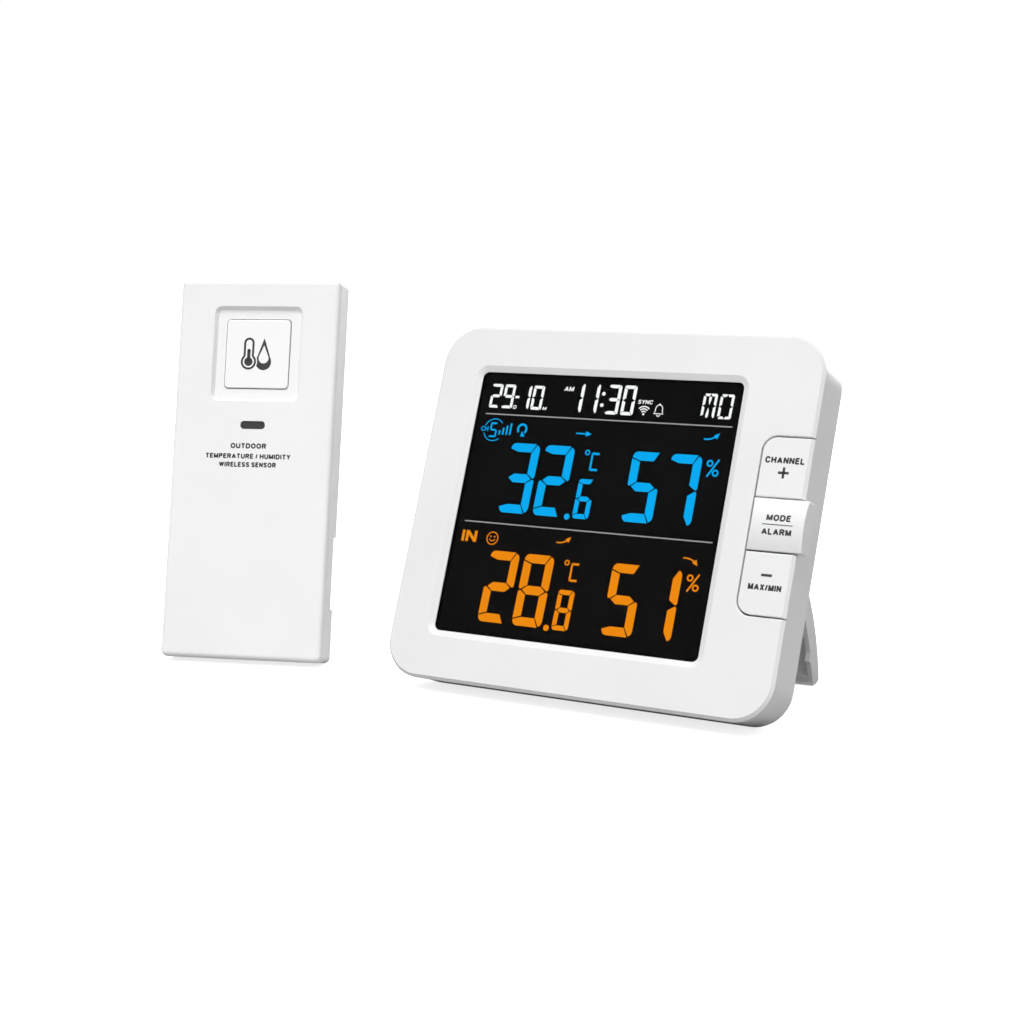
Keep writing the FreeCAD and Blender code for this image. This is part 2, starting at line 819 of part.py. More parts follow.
def make_side_key(name, above):
    """A flush key: the bank's outline, cut off past the middle key and at the housing's edge."""
    piece = Piece(name, display_at)
    low, high = key_span(above)
    piece.pad(key_bank(piece, 0, S.key_gap), S.key_plate)
    far = 60.0
    sign = 1 if above else -1
    inner_edge = low if above else high
    piece.pocket(
        piece.rect_face(KEY_CUT_RIGHT - 20.0, inner_edge - sign * far / 2, 0, 70.0, far, 0.2),
        S.key_plate,
    )
    edge = S.housing_width / 2
    piece.pocket(
        piece.rect_face(edge + 20.0, S.key_middle, 0, 40.0, 90.0, 0.2),
        S.key_plate,
    )
    piece.dress(
        "Chamfer",
        S.edge_chamfer,
        both(on_plane("X", number(edge)), on_plane("Y", 0)),
    )
    slope_start = number(edge - S.edge_chamfer)
    round_face_edges(piece, lambda edge: edge.BoundBox.XMin < slope_start - 0.5)
    middle = (low + high) / 2
    tall = high - low
    core_left = S.key_left + 4.0
    piece.pad(
        piece.rect_face(
            (core_left + KEY_CORE_RIGHT) / 2,
            middle,
            S.key_plate,
            KEY_CORE_RIGHT - core_left,
            tall - 5.0,
            1.0,
        ),
        KEY_FLANGE_START - S.key_plate,
    )
    flange_left = S.key_left - 1.2
    piece.pad(
        piece.rect_face(
            (flange_left + KEY_CORE_RIGHT) / 2,
            middle,
            KEY_FLANGE_START,
            KEY_CORE_RIGHT - flange_left,
            tall - 5.0,
            1.0,
        ),
        KEY_FLANGE_END - KEY_FLANGE_START,
    )
    piece.pad(
        piece.disc_face(KEY_STEM_X, middle, KEY_FLANGE_END, 2.0), KEY_STEM_END - KEY_FLANGE_END
    )


def make_mode_key():
    """The middle key: a barrel that bulges out of the face, with a skirt round the side."""
    piece = Piece("mode_key", display_at)
    half = S.mode_height / 2 - S.key_gap / 2
    middle = S.key_middle
    left = S.key_left + S.key_gap / 2
    barrel = piece.sketch("YZ_Plane", 0, 0, left)
    outline(
        barrel,
        [
            (S.key_plate, middle - half),
            (-MODE_RIM, middle - half),
            (-MODE_BULGE, middle, -MODE_RIM, middle + half),
            (S.key_plate, middle + half),
        ],
    )
    piece.pad(barrel, MODE_RIGHT - left, toward_back=False)
    # The left flank leans inward, more where the barrel stands higher.
    flank = piece.sketch("XY_Plane", 0, 0, middle - half)
    outline(flank, [(left - 0.5, 0), (left, 0), (left + MODE_FLANK, -3.0), (left - 0.5, -3.0)])
    piece.pocket(flank, 2 * half, reverse=True)
    skirt = piece.sketch("YZ_Plane", 0, 0, MODE_SKIRT_LEFT)
    turn = 1.4
    near = turn * (1 - math.sqrt(0.5))
    low, high = middle - half, middle + half
    end = MODE_SKIRT_END
    outline(
        skirt,
        [
            (S.key_plate - 0.5, low),
            (end - turn, low),
            (end - near, low + near, end, low + turn),
            (end, high - turn),
            (end - near, high - near, end - turn, high),
            (S.key_plate - 0.5, high),
        ],
    )
    piece.pad(skirt, MODE_RIGHT - MODE_SKIRT_LEFT, toward_back=False)
    side_edge = on_plane("X", MODE_RIGHT)
    piece.dress("Fillet", MODE_EDGE_ROUND, both(side_edge, in_front_of(-MODE_RIM + 0.02)))
    piece.dress("Fillet", MODE_SKIRT_ROUND, both(side_edge, reaching_behind(0.2)))
    flange_left = S.key_left - 1.2
    core_left = S.key_left + 4.0
    piece.pad(
        piece.rect_face(
            (core_left + KEY_CORE_RIGHT) / 2,
            middle,
            S.key_plate,
            KEY_CORE_RIGHT - core_left,
            MODE_FLANGE_TALL,
            1.0,
        ),
        KEY_FLANGE_START - S.key_plate,
    )
    piece.pad(
        piece.rect_face(
            (flange_left + KEY_CORE_RIGHT) / 2,
            middle,
            KEY_FLANGE_START,
            KEY_CORE_RIGHT - flange_left,
            MODE_FLANGE_TALL,
            1.0,
        ),
        KEY_FLANGE_END - KEY_FLANGE_START,
    )
    piece.pad(
        piece.disc_face(KEY_STEM_X, middle, KEY_FLANGE_END, 2.0), KEY_STEM_END - KEY_FLANGE_END
    )


SNOOZE_LOW, SNOOZE_TOP = 52.6, 57.0


def make_snooze_key():
    piece = Piece("snooze_key", display_at)
    cap = piece.sketch("XY_Plane", 0, SNOOZE_Y, SNOOZE_LOW)
    rounded_rectangle(cap, SNOOZE_WIDTH - 0.8, SNOOZE_DEPTH - 0.8, 1.1)
    piece.pad(cap, SNOOZE_TOP - SNOOZE_LOW, toward_back=False)
    piece.dress("Fillet", 0.4, on_plane("Z", SNOOZE_TOP))
    flange = piece.sketch("XY_Plane", 0, SNOOZE_Y, SNOOZE_LOW)
    rounded_rectangle(flange, SNOOZE_WIDTH + 3.0, SNOOZE_DEPTH + 2.0, 1.5)
    piece.pad(flange, 1.5, toward_back=False)


def make_rear_keys():
    for name, x in REAR_KEYS.items():
        cap = rod(name + "_cap", (x, 17.6, REAR_KEY_Z), 4.2, 2.9)
        flange = rod(name + "_flange", (x, 17.0, REAR_KEY_Z), 1.0, 3.9)
        fused(name, display_at, [cap, flange])


# ---------------------------------------------------------------- display: electronics

BOARD_LEFT, BOARD_RIGHT = -49.0, 47.0
BOARD_LOW, BOARD_HIGH = -1.5, 45.5
KEY_BOARD_Y = 6.0
ANTENNA_X, ANTENNA_Z, ANTENNA_REACH, ANTENNA_RADIUS = 26.5, 22.0, 68.0, 0.5
JACK_FACE_X, JACK_BARREL_RADIUS, JACK_BORE_RADIUS = -62.4, 3.8, 2.85


def make_display_electronics():
    at = display_at
    chip_y = BOARD_Y + BOARD_THICK
    board = box(
        "main_board_blank",
        (BOARD_LEFT, BOARD_Y, BOARD_LOW),
        (BOARD_RIGHT, chip_y, BOARD_HIGH),
    )
    holes = []
    screws = []
    for index, (x, z) in enumerate(BOARD_SCREWS):
        holes.append(rod("main_board_hole{}".format(index), (x, BOARD_Y - 1, z), 4.0, 1.3))
        shank = rod("board_shank{}".format(index), (x, BOARD_Y - 0.5, z), 6.0, 0.9)
        head = rod("board_head{}".format(index), (x, BOARD_Y - 1.3, z), 1.25, 2.2)
        screw = doc.addObject("Part::Fuse", "board_screw{}".format(index))
        screw.Base = shank
        screw.Tool = head
        screws.append(screw)
    group("board_screws", at, screws)
    cut("main_board", at, board, holes)
    single("controller_chip", at, box("chip", (-8.0, chip_y, 12.0), (6.0, chip_y + 1.4, 26.0)))
    can = box("radio_can", (14.0, chip_y + 0.8, 26.0), (26.0, chip_y + 2.6, 38.0))
    carrier = box("radio_carrier", (12.0, chip_y, 24.0), (28.0, chip_y + 0.8, 40.0))
    fused("radio_module", at, [carrier, can])
    # The antenna's foot stands on the board, clear of the radio carrier's edge.
    wire_y = chip_y + 4.0
    foot = rod("antenna_foot", (ANTENNA_X, chip_y, ANTENNA_Z), wire_y - chip_y, ANTENNA_RADIUS)
    run_start = (ANTENNA_X - ANTENNA_REACH, wire_y, ANTENNA_Z)
    run = rod("antenna_run", run_start, ANTENNA_REACH, ANTENNA_RADIUS, TO_RIGHT)
    elbow = doc.addObject("Part::Sphere", "antenna_elbow")
    elbow.Radius = ANTENNA_RADIUS
    elbow.Placement = Placement(Vector(ANTENNA_X, wire_y, ANTENNA_Z), Rotation())
    fused("antenna_wire", at, [foot, run, elbow])
    disc = rod("buzzer_disc", (BUZZER_X, 14.0, BUZZER_Z), 3.6, 7.0)
    hollow = rod("buzzer_mouth", (BUZZER_X, 16.6, BUZZER_Z), 2.0, 1.2)
    cut("buzzer", at, disc, [hollow])
    single("room_sensor", at, box("room_cell", (-34.0, chip_y, 34.0), (-30.5, chip_y + 1.2, 37.5)))
    single(
        "key_board",
        at,
        box("key_board_blank", (50.5, KEY_BOARD_Y, -23.5), (61.0, KEY_BOARD_Y + 1.4, 24.5)),
    )
    switches = []
    for low, high in (key_span(True), key_span(False)):
        switches.append(number((low + high) / 2))
    switches.append(number(S.key_middle))
    solids = []
    for index, z in enumerate(switches):
        body = box("switch_body{}".format(index), (53.0, 4.3, z - 3.0), (59.0, KEY_BOARD_Y, z + 3.0))
        plunger = rod("switch_plunger{}".format(index), (KEY_STEM_X, 3.9, z), 0.6, 1.7)
        joined = doc.addObject("Part::Fuse", "switch{}".format(index))
        joined.Base = body
        joined.Tool = plunger
        solids.append(joined)
    group("key_switches", at, solids)
    solids = []
    for name, x in REAR_KEYS.items():
        body = box(name + "_switch_body", (x - 3.0, chip_y, 9.0), (x + 3.0, 14.0, 15.0))
        plunger = rod(name + "_switch_plunger", (x, 13.5, REAR_KEY_Z), 2.4, 1.7)
        joined = doc.addObject("Part::Fuse", name + "_switch")
        joined.Base = body
        joined.Tool = plunger
        solids.append(joined)
    group("rear_switches", at, solids)
    # Power jack: a barrel socket behind the left side, with its centre pin.
    barrel_at = (JACK_FACE_X, JACK_Y, JACK_Z)
    bore_at = (JACK_FACE_X - 0.6, JACK_Y, JACK_Z)
    barrel = rod("jack_barrel", barrel_at, 11.0, JACK_BARREL_RADIUS, TO_RIGHT)
    bore = rod("jack_bore", bore_at, 9.5, JACK_BORE_RADIUS, TO_RIGHT)
    shell = doc.addObject("Part::Cut", "jack_shell")
    shell.Base = barrel
    shell.Tool = bore
    pin = rod("jack_pin", (JACK_FACE_X + 0.9, JACK_Y, JACK_Z), 9.0, 1.0, TO_RIGHT)
    fused("dc_jack", at, [shell, pin])


AAA_NUB, AA_NUB = 1.2, 1.4
CONTACT_HALF, AA_CONTACT_HALF = 4.0, 5.0


def coil_spring(name, centre, coil, wire, turns, pitch, turn):
    """A short conical contact spring: stacked turns that shrink, joined to a base turn."""
    rings = []
    step = turn.multVec(Vector(0, 0, 1))
    for index in range(turns):
        point = Vector(*centre) + step * (pitch * index)
        rings.append(
            ring("{}_turn{}".format(name, index), tuple(point), coil - 0.25 * index, wire, turn)
        )
    joined = doc.addObject("Part::MultiFuse", name)
    joined.Shapes = rings
    return joined


def make_display_batteries():
    at = display_at
    y = number(S.bay_front) + 0.15 + number(S.cell_radius)
    left = -number(S.bay_width) / 2
    right = -left
    can_left = left + 5.0
    can_length = number(S.cell_length) - AAA_NUB
    cells, springs, plates = [], [], []
    for index in range(3):
        z = -number(S.bay_drop) + (index - 1) * number(S.cell_pitch)
        can = rod("aaa_can{}".format(index), (can_left, y, z), can_length, S.cell_radius, TO_RIGHT)
        nub = rod("aaa_nub{}".format(index), (can_left + can_length, y, z), AAA_NUB, 1.9, TO_RIGHT)
        joined = doc.addObject("Part::Fuse", "aaa{}".format(index))
        joined.Base = can
        joined.Tool = nub
        cells.append(joined)
        low_y, high_y = y - CONTACT_HALF, y + CONTACT_HALF
        low_z, high_z = z - CONTACT_HALF, z + CONTACT_HALF
        plate = box(
            "aaa_plate{}".format(index), (left + 0.1, low_y, low_z), (left + 0.5, high_y, high_z)
        )
        coil = coil_spring(
            "aaa_coil{}".format(index), (left + 0.8, y, z), 3.2, 0.4, 6, 0.7, TO_RIGHT
        )
        spring = doc.addObject("Part::Fuse", "aaa_spring{}".format(index))
        spring.Base = plate
        spring.Tool = coil
        springs.append(spring)
        plates.append(
            box(
                "aaa_contact{}".format(index),
                (right - 0.6, low_y, low_z),
                (right - 0.1, high_y, high_z),
            )
        )
    group("display_batteries", at, cells)
    group("display_springs", at, springs)
    group("display_contacts", at, plates)


def make_display_door():
    piece = Piece("display_battery_door", display_at)
    depth = S.housing_depth - S.door_thick
    piece.pad(
        piece.rect_face(
            0, -S.bay_drop, depth + 0.05, S.bay_width + 1.2, S.bay_height + 1.2, 1.4
        ),
        S.door_thick - 0.05,
    )
    # Finger ridges near the door's lower edge.
    for row in range(4):
        piece.pocket(
            piece.rect_face(0, -38.0 + 1.8 * row, S.housing_depth - 0.5, 16.0, 0.8, 0.35), 1.0
        )


# ---------------------------------------------------------------- display: stand

STAND_CREST, STAND_CREST_AT, STAND_FOOT = 4.7, 62.0, 3.1
STAND_BOW, STAND_BOW_AT = 2.6, 44.0
STAND_SKIN, STAND_FOOT_WALL, STAND_TOP_WALL = 1.5, 3.0, 6.0
STAND_RIM_FRONT = 0.9
RIB_FRONT, RIB_THICK = -0.4, 1.5
CATCH_FRONT, CATCH_AT = 2.6, 66.2


def make_stand():
    """A shallow tray: two side walls, a bowed skin and a foot wall, open towards the housing."""
    piece = Piece("desk_stand", stand_at)
    front, length, hub = -S.stand_front, S.stand_length, S.hub_radius
    half = S.stand_width / 2
    side = piece.sketch("YZ_Plane", 0, 0, -half)
    hub_rise = math.sqrt(number(hub) ** 2 - number(front) ** 2)
    # From the foot's front corner round the back, over the hub and down the front edge, which
    # carries a small catch near the foot.
    outline(
        side,
        [
            (front, -length),
            (front + 2.7, -length - 0.7),
            (STAND_FOOT, -length - 0.6),
            (STAND_CREST, -STAND_CREST_AT, STAND_BOW, -STAND_BOW_AT),
            (hub, 0),
            (0, hub, front, -hub_rise),
            (front, -50.0),
            (-STAND_RIM_FRONT, -CATCH_AT + 4.6),
            (-STAND_RIM_FRONT, -CATCH_AT + 2.3),
            (-CATCH_FRONT, -CATCH_AT),
            (front + 0.6, -CATCH_AT - 1.2),
            (front + 0.6, -length + 0.7),
        ],
    )
    piece.pad(side, S.stand_width, toward_back=False)
    wall = S.stand_wall
    inner = piece.sketch("YZ_Plane", 0, 0, -(half - wall))
    well_front = front - 1.0
    well_foot = STAND_FOOT_WALL - length
    outline(
        inner,
        [
            (well_front, well_foot),
            (STAND_FOOT - STAND_SKIN, well_foot),
            (STAND_CREST - STAND_SKIN, -STAND_CREST_AT, STAND_BOW - STAND_SKIN, -STAND_BOW_AT),
            (hub - STAND_SKIN, -STAND_TOP_WALL),
            (well_front, -STAND_TOP_WALL),
        ],
    )
    piece.pocket(inner, S.stand_width - 2 * wall, reverse=True)
    top = piece.sketch("YZ_Plane", 0, 0, -(half - wall))
    clear = 2 * STAND_TOP_WALL
    outline(
        top,
        [
            (-STAND_TOP_WALL, -STAND_TOP_WALL),
            (clear, -STAND_TOP_WALL),
            (clear, STAND_TOP_WALL),
            (-STAND_TOP_WALL, STAND_TOP_WALL),
        ],
    )
    piece.pocket(top, S.stand_width - 2 * wall, reverse=True)
    pins = piece.sketch("YZ_Plane", 0, 0, -(half + 1.0))
    circle(pins, S.pin_radius + S.pin_running)
    piece.pocket(pins, S.stand_width + 2.0, reverse=True)
    # Ribs that stiffen the skin.
    for x in (-22.0, 22.0):
        rib = piece.sketch("YZ_Plane", 0, 0, x - RIB_THICK / 2)
        outline(
            rib,
            [
                (RIB_FRONT, well_foot - 1.0),
                (STAND_FOOT - 1.0, well_foot - 1.0),
                (STAND_CREST - 1.0, -STAND_CREST_AT, STAND_BOW - 1.0, -STAND_BOW_AT),
                (hub - 1.0, -STAND_TOP_WALL - 1.0),
                (RIB_FRONT, -STAND_TOP_WALL - 1.0),
            ],
        )
        piece.pad(rib, RIB_THICK, toward_back=False)
    pin_solids = []
    pin_length = number(half) - 0.15 - LUG_LOW
    for index, start in enumerate((LUG_LOW, -number(half) + 0.15)):
        at = (start, number(S.pivot_depth), number(S.pivot_rise))
        pin_solids.append(rod("stand_pin{}".format(index), at, pin_length, S.pin_radius, TO_RIGHT))
    group("stand_pins", display_at, pin_solids)


def make_screws(name, place, spots, head_y, tip_y, shank, head, head_depth):
    """Identical screws driven from the back: a head with a cross recess, and a shank."""
    solids = []
    for index, (x, z) in enumerate(spots):
        key = "{}{}".format(name, index)
        body = rod(key + "_shank", (x, tip_y, z), head_y - tip_y, shank)
        cap = rod(key + "_head", (x, head_y, z), head_depth, head)
        joined = doc.addObject("Part::Fuse", key + "_blank")
        joined.Base = body
        joined.Tool = cap
        reach = head * 0.6
        recess_low = head_y + head_depth * 0.45
        recess_high = head_y + head_depth + 1
        slot = box(
            key + "_slot", (x - reach, recess_low, z - 0.3), (x + reach, recess_high, z + 0.3)
        )
        cross = box(
            key + "_cross", (x - 0.3, recess_low, z - reach), (x + 0.3, recess_high, z + reach)
        )
        tool = doc.addObject("Part::Fuse", key + "_recess")
        tool.Base = slot
        tool.Tool = cross
        screw = doc.addObject("Part::Cut", key)
        screw.Base = joined
        screw.Tool = tool
        solids.append(screw)
    group(name, place, solids)


# ---------------------------------------------------------------- sensor

LED_RISE, LED_WIDTH, LED_HEIGHT = 77.8, 8.6, 2.7
GASKET_BAND = 2.0


def make_sensor_front():
    piece = Piece("sensor_front_cover", sensor_at)
    middle = S.sensor_height / 2
    piece.pad(
        piece.rect_face(0, middle, 0, S.sensor_width, S.sensor_height, S.sensor_corner),
        S.sensor_depth,
    )
    piece.dress("Fillet", 1.8, on_plane("Y", 0))
    piece.pocket(
        piece.rect_face(
            0,
            middle,
            2.6,
            S.sensor_width - 2 * S.sensor_wall,
            S.sensor_height - 2 * S.sensor_wall,
            1.0,
        ),
        S.sensor_depth - 2.6,
    )
    # The seat: a shallow square recess with a smaller pocket for the glossy icon window.
    front = piece.rect_face(0, S.seat_rise, 0, S.seat_width, S.seat_height, 2.4)
    bottom = piece.rect_face(
        0, S.seat_rise, S.seat_sink, S.seat_width - 2.0, S.seat_height - 2.0, 1.6
    )
    loft = piece.body.newObject("PartDesign::SubtractiveLoft", "sensor_front_cover_seat")
    loft.Profile = front
    loft.Sections = [bottom]
    doc.recompute()
    piece.pocket(
        piece.rect_face(0, S.seat_rise, S.seat_sink, S.icon_width + 0.6, S.icon_height + 0.6, 1.5),
        1.3,
    )
    piece.pocket(
        piece.rect_face(0, LED_RISE, 0, LED_WIDTH, LED_HEIGHT, 1.2),
        2.6,
    )
    for x, z in SENSOR_SCREWS:
        piece.pad(piece.disc_face(x, z, 2.6, 2.3), 3.7)
        piece.pocket(piece.disc_face(x, z, 4.2, 1.0), 2.1)
    # Shallow finger notch on the right side, where the rear cover is prised off.
    notch = piece.sketch("YZ_Plane", S.sensor_depth - 1.2, 29.8, S.sensor_width / 2 - 0.7)
    rounded_rectangle(notch, 2.8, 24.0, 0.4)
    piece.pocket(notch, 2.0, reverse=True)


def make_sensor_trims():
    icon = Piece("icon_window", sensor_at)
    icon.pad(
        icon.rect_face(0, S.seat_rise, S.seat_sink - 0.5, S.icon_width, S.icon_height, 1.2),
        1.75,
    )
    icon.dress("Fillet", 0.35, on_plane("Y", number(S.seat_sink) - 0.5))
    lens = Piece("led_lens", sensor_at)
    lens.pad(lens.rect_face(0, LED_RISE, 0.35, LED_WIDTH - 0.2, LED_HEIGHT - 0.2, 1.1), 2.25)
    lens.pad(lens.rect_face(0, LED_RISE, 2.6, LED_WIDTH + 3.0, LED_HEIGHT + 3.0, 1.1), 0.8)
    middle = S.sensor_height / 2
    gasket = Piece("sensor_gasket", sensor_at)
    wide = S.sensor_width - 2 * S.sensor_wall - 0.4
    tall = S.sensor_height - 2 * S.sensor_wall - 0.4
    seal = gasket.rect_face(0, middle, 6.4, wide, tall, 0.9)
    rounded_rectangle(seal, wide - 2 * GASKET_BAND, tall - 2 * GASKET_BAND, 0.6)
    gasket.pad(seal, 1.0)


SENSOR_BAY_LOW, SENSOR_BAY_HIGH, SENSOR_BAY_WIDTH = 58.0, 115.5, 31.0
SENSOR_BAY_FRONT, SENSOR_BAY_WALL = 5.9, 1.2
SENSOR_DOOR_THICK = 1.6
LEG_RECESS_DEPTH = 4.4
SENSOR_SCREWS = [(x, z) for x in (-22.9, 22.9) for z in (5.0, 122.0)]
SENSOR_HOOK_Z = 122.5
SLIDER_Z = 28.0


def make_sensor_rear():
    piece = Piece("sensor_rear_cover", sensor_at)
    middle = S.sensor_height / 2
    plate_start = S.sensor_depth - 2.0
    piece.pad(
        piece.rect_face(
            0,
            middle,
            plate_start,
            S.sensor_width - 2 * S.sensor_wall - 0.4,
            S.sensor_height - 2 * S.sensor_wall - 0.4,
            0.9,
        ),
        2.0,
    )
    block_middle = (S.block_bottom + S.block_top) / 2
    block_tall = S.block_top - S.block_bottom
    piece.pad(
        piece.rect_face(0, block_middle, plate_start, S.block_width, block_tall, 4.0),
        S.block_depth - plate_start,
    )
    piece.dress("Fillet", 2.0, on_plane("Y", number(S.block_depth)))
    # Hollow of the electronics half, reached from the front.
    low = S.block_bottom + 1.8
    high = SENSOR_BAY_LOW - 1.6
    piece.pocket(
        piece.rect_face(0, (low + high) / 2, plate_start, S.block_width - 4.0, high - low, 2.0),
        S.block_depth - LEG_RECESS_DEPTH - 1.6 - plate_start,
    )
    # Battery bay, opened from behind, with the step that seats its door.
    bay_middle = (SENSOR_BAY_LOW + SENSOR_BAY_HIGH) / 2
    bay_tall = SENSOR_BAY_HIGH - SENSOR_BAY_LOW
    piece.pocket(
        piece.rect_face(0, bay_middle, plate_start, SENSOR_BAY_WIDTH, bay_tall, 1.0),
        S.block_depth - plate_start,
    )
    tray_wide = SENSOR_BAY_WIDTH + 2 * SENSOR_BAY_WALL
    tray_front = SENSOR_BAY_FRONT - SENSOR_BAY_WALL
    floor = piece.rect_face(0, bay_middle, tray_front, tray_wide, bay_tall, 1.0)
    piece.pad(floor, SENSOR_BAY_WALL)
    sides = piece.rect_face(0, bay_middle, tray_front, tray_wide, bay_tall, 1.0)
    rounded_rectangle(sides, SENSOR_BAY_WIDTH, bay_tall - 2 * SENSOR_BAY_WALL, 0.5)
    piece.pad(sides, plate_start + 0.5 - tray_front)
    piece.pocket(
        piece.rect_face(
            0,
            bay_middle,
            S.block_depth - SENSOR_DOOR_THICK,
            SENSOR_BAY_WIDTH + 2.0,
            bay_tall - 0.4,
            1.4,
        ),
        SENSOR_DOOR_THICK,
    )
    # Recess that takes the folded prop leg, open at the bottom.
    leg_low, leg_high = S.block_bottom - 4.0, S.leg_rise + S.leg_hub + 0.4
    piece.pocket(
        piece.rect_face(
            0,
            (leg_low + leg_high) / 2,
            S.block_depth - LEG_RECESS_DEPTH,
            S.leg_width + 0.8,
            leg_high - leg_low,
            0.3,
        ),
        LEG_RECESS_DEPTH,
    )
    # Slot for the channel slider, in the recess behind the folded leg.
    recess_floor = S.block_depth - LEG_RECESS_DEPTH
    piece.pocket(piece.rect_face(0, SLIDER_Z, recess_floor - 2.5, 8.6, 3.4, 0.5), 2.5)
    pin = piece.sketch("YZ_Plane", S.leg_depth, S.leg_rise, -(S.leg_width / 2 + 4.0))
    circle(pin, 1.0)
    piece.pocket(pin, S.leg_width + 8.0, reverse=True)
    for x, z in SENSOR_SCREWS:
        piece.pocket(piece.disc_face(x, z, plate_start, 1.2), 2.0)
    piece.pocket(piece.disc_face(0, SENSOR_HOOK_Z, plate_start, 2.0), 2.0)


def make_sensor_leg():
    piece = Piece("sensor_prop_leg", leg_at)
    length, hub = S.leg_length, S.leg_hub
    half = S.leg_width / 2
    side = piece.sketch("YZ_Plane", 0, 0, -half)
    outline(
        side,
        [
            (-hub, -length),
            (0.9, -length),
            (hub - 0.6, -6.0),
            (hub, 0),
            (0, hub, -hub, 0),
        ],
    )
    piece.pad(side, S.leg_width, toward_back=False)
    opening = piece.sketch("XZ_Plane", 0, -length * 0.52, number(hub) + 2.0)
    rounded_rectangle(opening, S.leg_width - 9.0, length * 0.42, 3.0)
    piece.pocket(opening, 8.0)
    hole = piece.sketch("YZ_Plane", 0, 0, -(half + 1.0))
    circle(hole, 1.05)
    piece.pocket(hole, S.leg_width + 2.0, reverse=True)
    start = (-(number(half) + 3.0), number(S.leg_depth), number(S.leg_rise))
    pin = rod("leg_pin_rod", start, S.leg_width + 6.0, 1.0, TO_RIGHT)
    single("sensor_leg_pin", sensor_at, pin)


def make_sensor_inside():
    at = sensor_at
    face_y = 9.6
    board = box("sensor_board_blank", (-18.0, 8.2, 11.0), (18.0, face_y, 55.0))
    hole = rod("sensor_board_hole", (0, 7.0, 33.0), 4.0, 1.4)
    cut("sensor_board", at, board, [hole])
    single("sensor_radio_chip", at, box("radio_chip", (-6.0, face_y, 38.0), (2.0, 10.8, 46.0)))
    mast_x, mast_y, mast_z, wire = 14.0, 12.0, 20.0, 0.45
    foot = rod("sensor_antenna_foot", (mast_x, face_y, mast_z), mast_y - face_y, wire)
    mast = rod("sensor_antenna_mast", (mast_x, mast_y, mast_z), 32.0, wire, UPWARD)
    elbow = doc.addObject("Part::Sphere", "sensor_antenna_elbow")
    elbow.Radius = wire
    elbow.Placement = Placement(Vector(mast_x, mast_y, mast_z), Rotation())
    fused("sensor_antenna", at, [foot, mast, elbow])
    switch_body = box("channel_switch_body", (-5.5, face_y, 24.5), (5.5, 14.0, 31.5))
    single("channel_switch", at, switch_body)
    stem = box("channel_stem", (-3.6, 14.3, SLIDER_Z - 1.2), (-0.4, 18.0, SLIDER_Z + 1.2))
    skid = box("channel_skid", (-4.6, 14.1, SLIDER_Z - 2.6), (0.6, 15.0, SLIDER_Z + 2.6))
    fused("channel_slider", at, [stem, skid])
    single("humidity_cell", at, box("humidity_can", (-12.0, face_y, 15.0), (-8.0, 10.9, 19.0)))
    flange = rod("led_flange", (0, 4.0, LED_RISE), 0.6, 1.0)
    dome = rod("led_body", (0, 3.5, LED_RISE), 0.5, 0.8)
    fused("indicator_led", at, [flange, dome])
    y = SENSOR_BAY_FRONT + 0.2 + number(S.sensor_cell_radius)
    bottom = SENSOR_BAY_LOW + 5.0
    cells, springs, plates = [], [], []
    for index, x in enumerate((-7.5, 7.5)):
        can_tall = number(S.sensor_cell_length) - AA_NUB
        can = rod(
            "aa_can{}".format(index), (x, y, bottom), can_tall, S.sensor_cell_radius, UPWARD
        )
        nub = rod("aa_nub{}".format(index), (x, y, bottom + can_tall), AA_NUB, 2.7, UPWARD)
        cell = doc.addObject("Part::Fuse", "aa{}".format(index))
        cell.Base = can
        cell.Tool = nub
        cells.append(cell)
        low = SENSOR_BAY_LOW + 1.3
        near = (x - AA_CONTACT_HALF, y - AA_CONTACT_HALF)
        far = (x + AA_CONTACT_HALF, y + AA_CONTACT_HALF)
        plate = box("aa_plate{}".format(index), (*near, low), (*far, low + 0.4))
        coil = coil_spring(
            "aa_coil{}".format(index), (x, y, low + 0.7), 4.2, 0.45, 4, 0.75, UPWARD
        )
        spring = doc.addObject("Part::Fuse", "aa_spring{}".format(index))
        spring.Base = plate
        spring.Tool = coil
        springs.append(spring)
        high = SENSOR_BAY_HIGH - 1.3
        plates.append(box("aa_contact{}".format(index), (*near, high - 0.5), (*far, high)))
    group("sensor_batteries", at, cells)
    group("sensor_springs", at, springs)
    group("sensor_contacts", at, plates)


def make_sensor_door():
    piece = Piece("sensor_battery_door", sensor_at)
    bay_middle = (SENSOR_BAY_LOW + SENSOR_BAY_HIGH) / 2
    bay_tall = SENSOR_BAY_HIGH - SENSOR_BAY_LOW
    piece.pad(
        piece.rect_face(
            0,
            bay_middle,
            S.block_depth - SENSOR_DOOR_THICK + 0.05,
            SENSOR_BAY_WIDTH + 1.6,
            bay_tall - 0.8,
            1.2,
        ),
        SENSOR_DOOR_THICK - 0.05,
    )
    for row in range(3):
        piece.pocket(
            piece.rect_face(0, SENSOR_BAY_HIGH - 9.0 + 2.0 * row, S.block_depth - 0.5, 14.0, 0.9, 0.4),
            1.0,
        )


# ---------------------------------------------------------------- build, check and write

make_front_bezel()
make_rear_shell()
make_window_stack()
make_side_key("plus_key", True)
make_side_key("minus_key", False)
make_mode_key()
make_snooze_key()
make_rear_keys()
make_display_electronics()
make_display_batteries()
make_display_door()
make_stand()
make_screws("case_screws", display_at, CASE_SCREWS, 19.3, 4.0, 1.1, 2.6, 1.6)
make_sensor_front()
make_sensor_trims()
make_sensor_rear()
make_sensor_leg()
make_sensor_inside()
make_sensor_door()
make_screws("sensor_screws", sensor_at, SENSOR_SCREWS, 9.5, 4.2, 1.0, 1.9, 1.0)

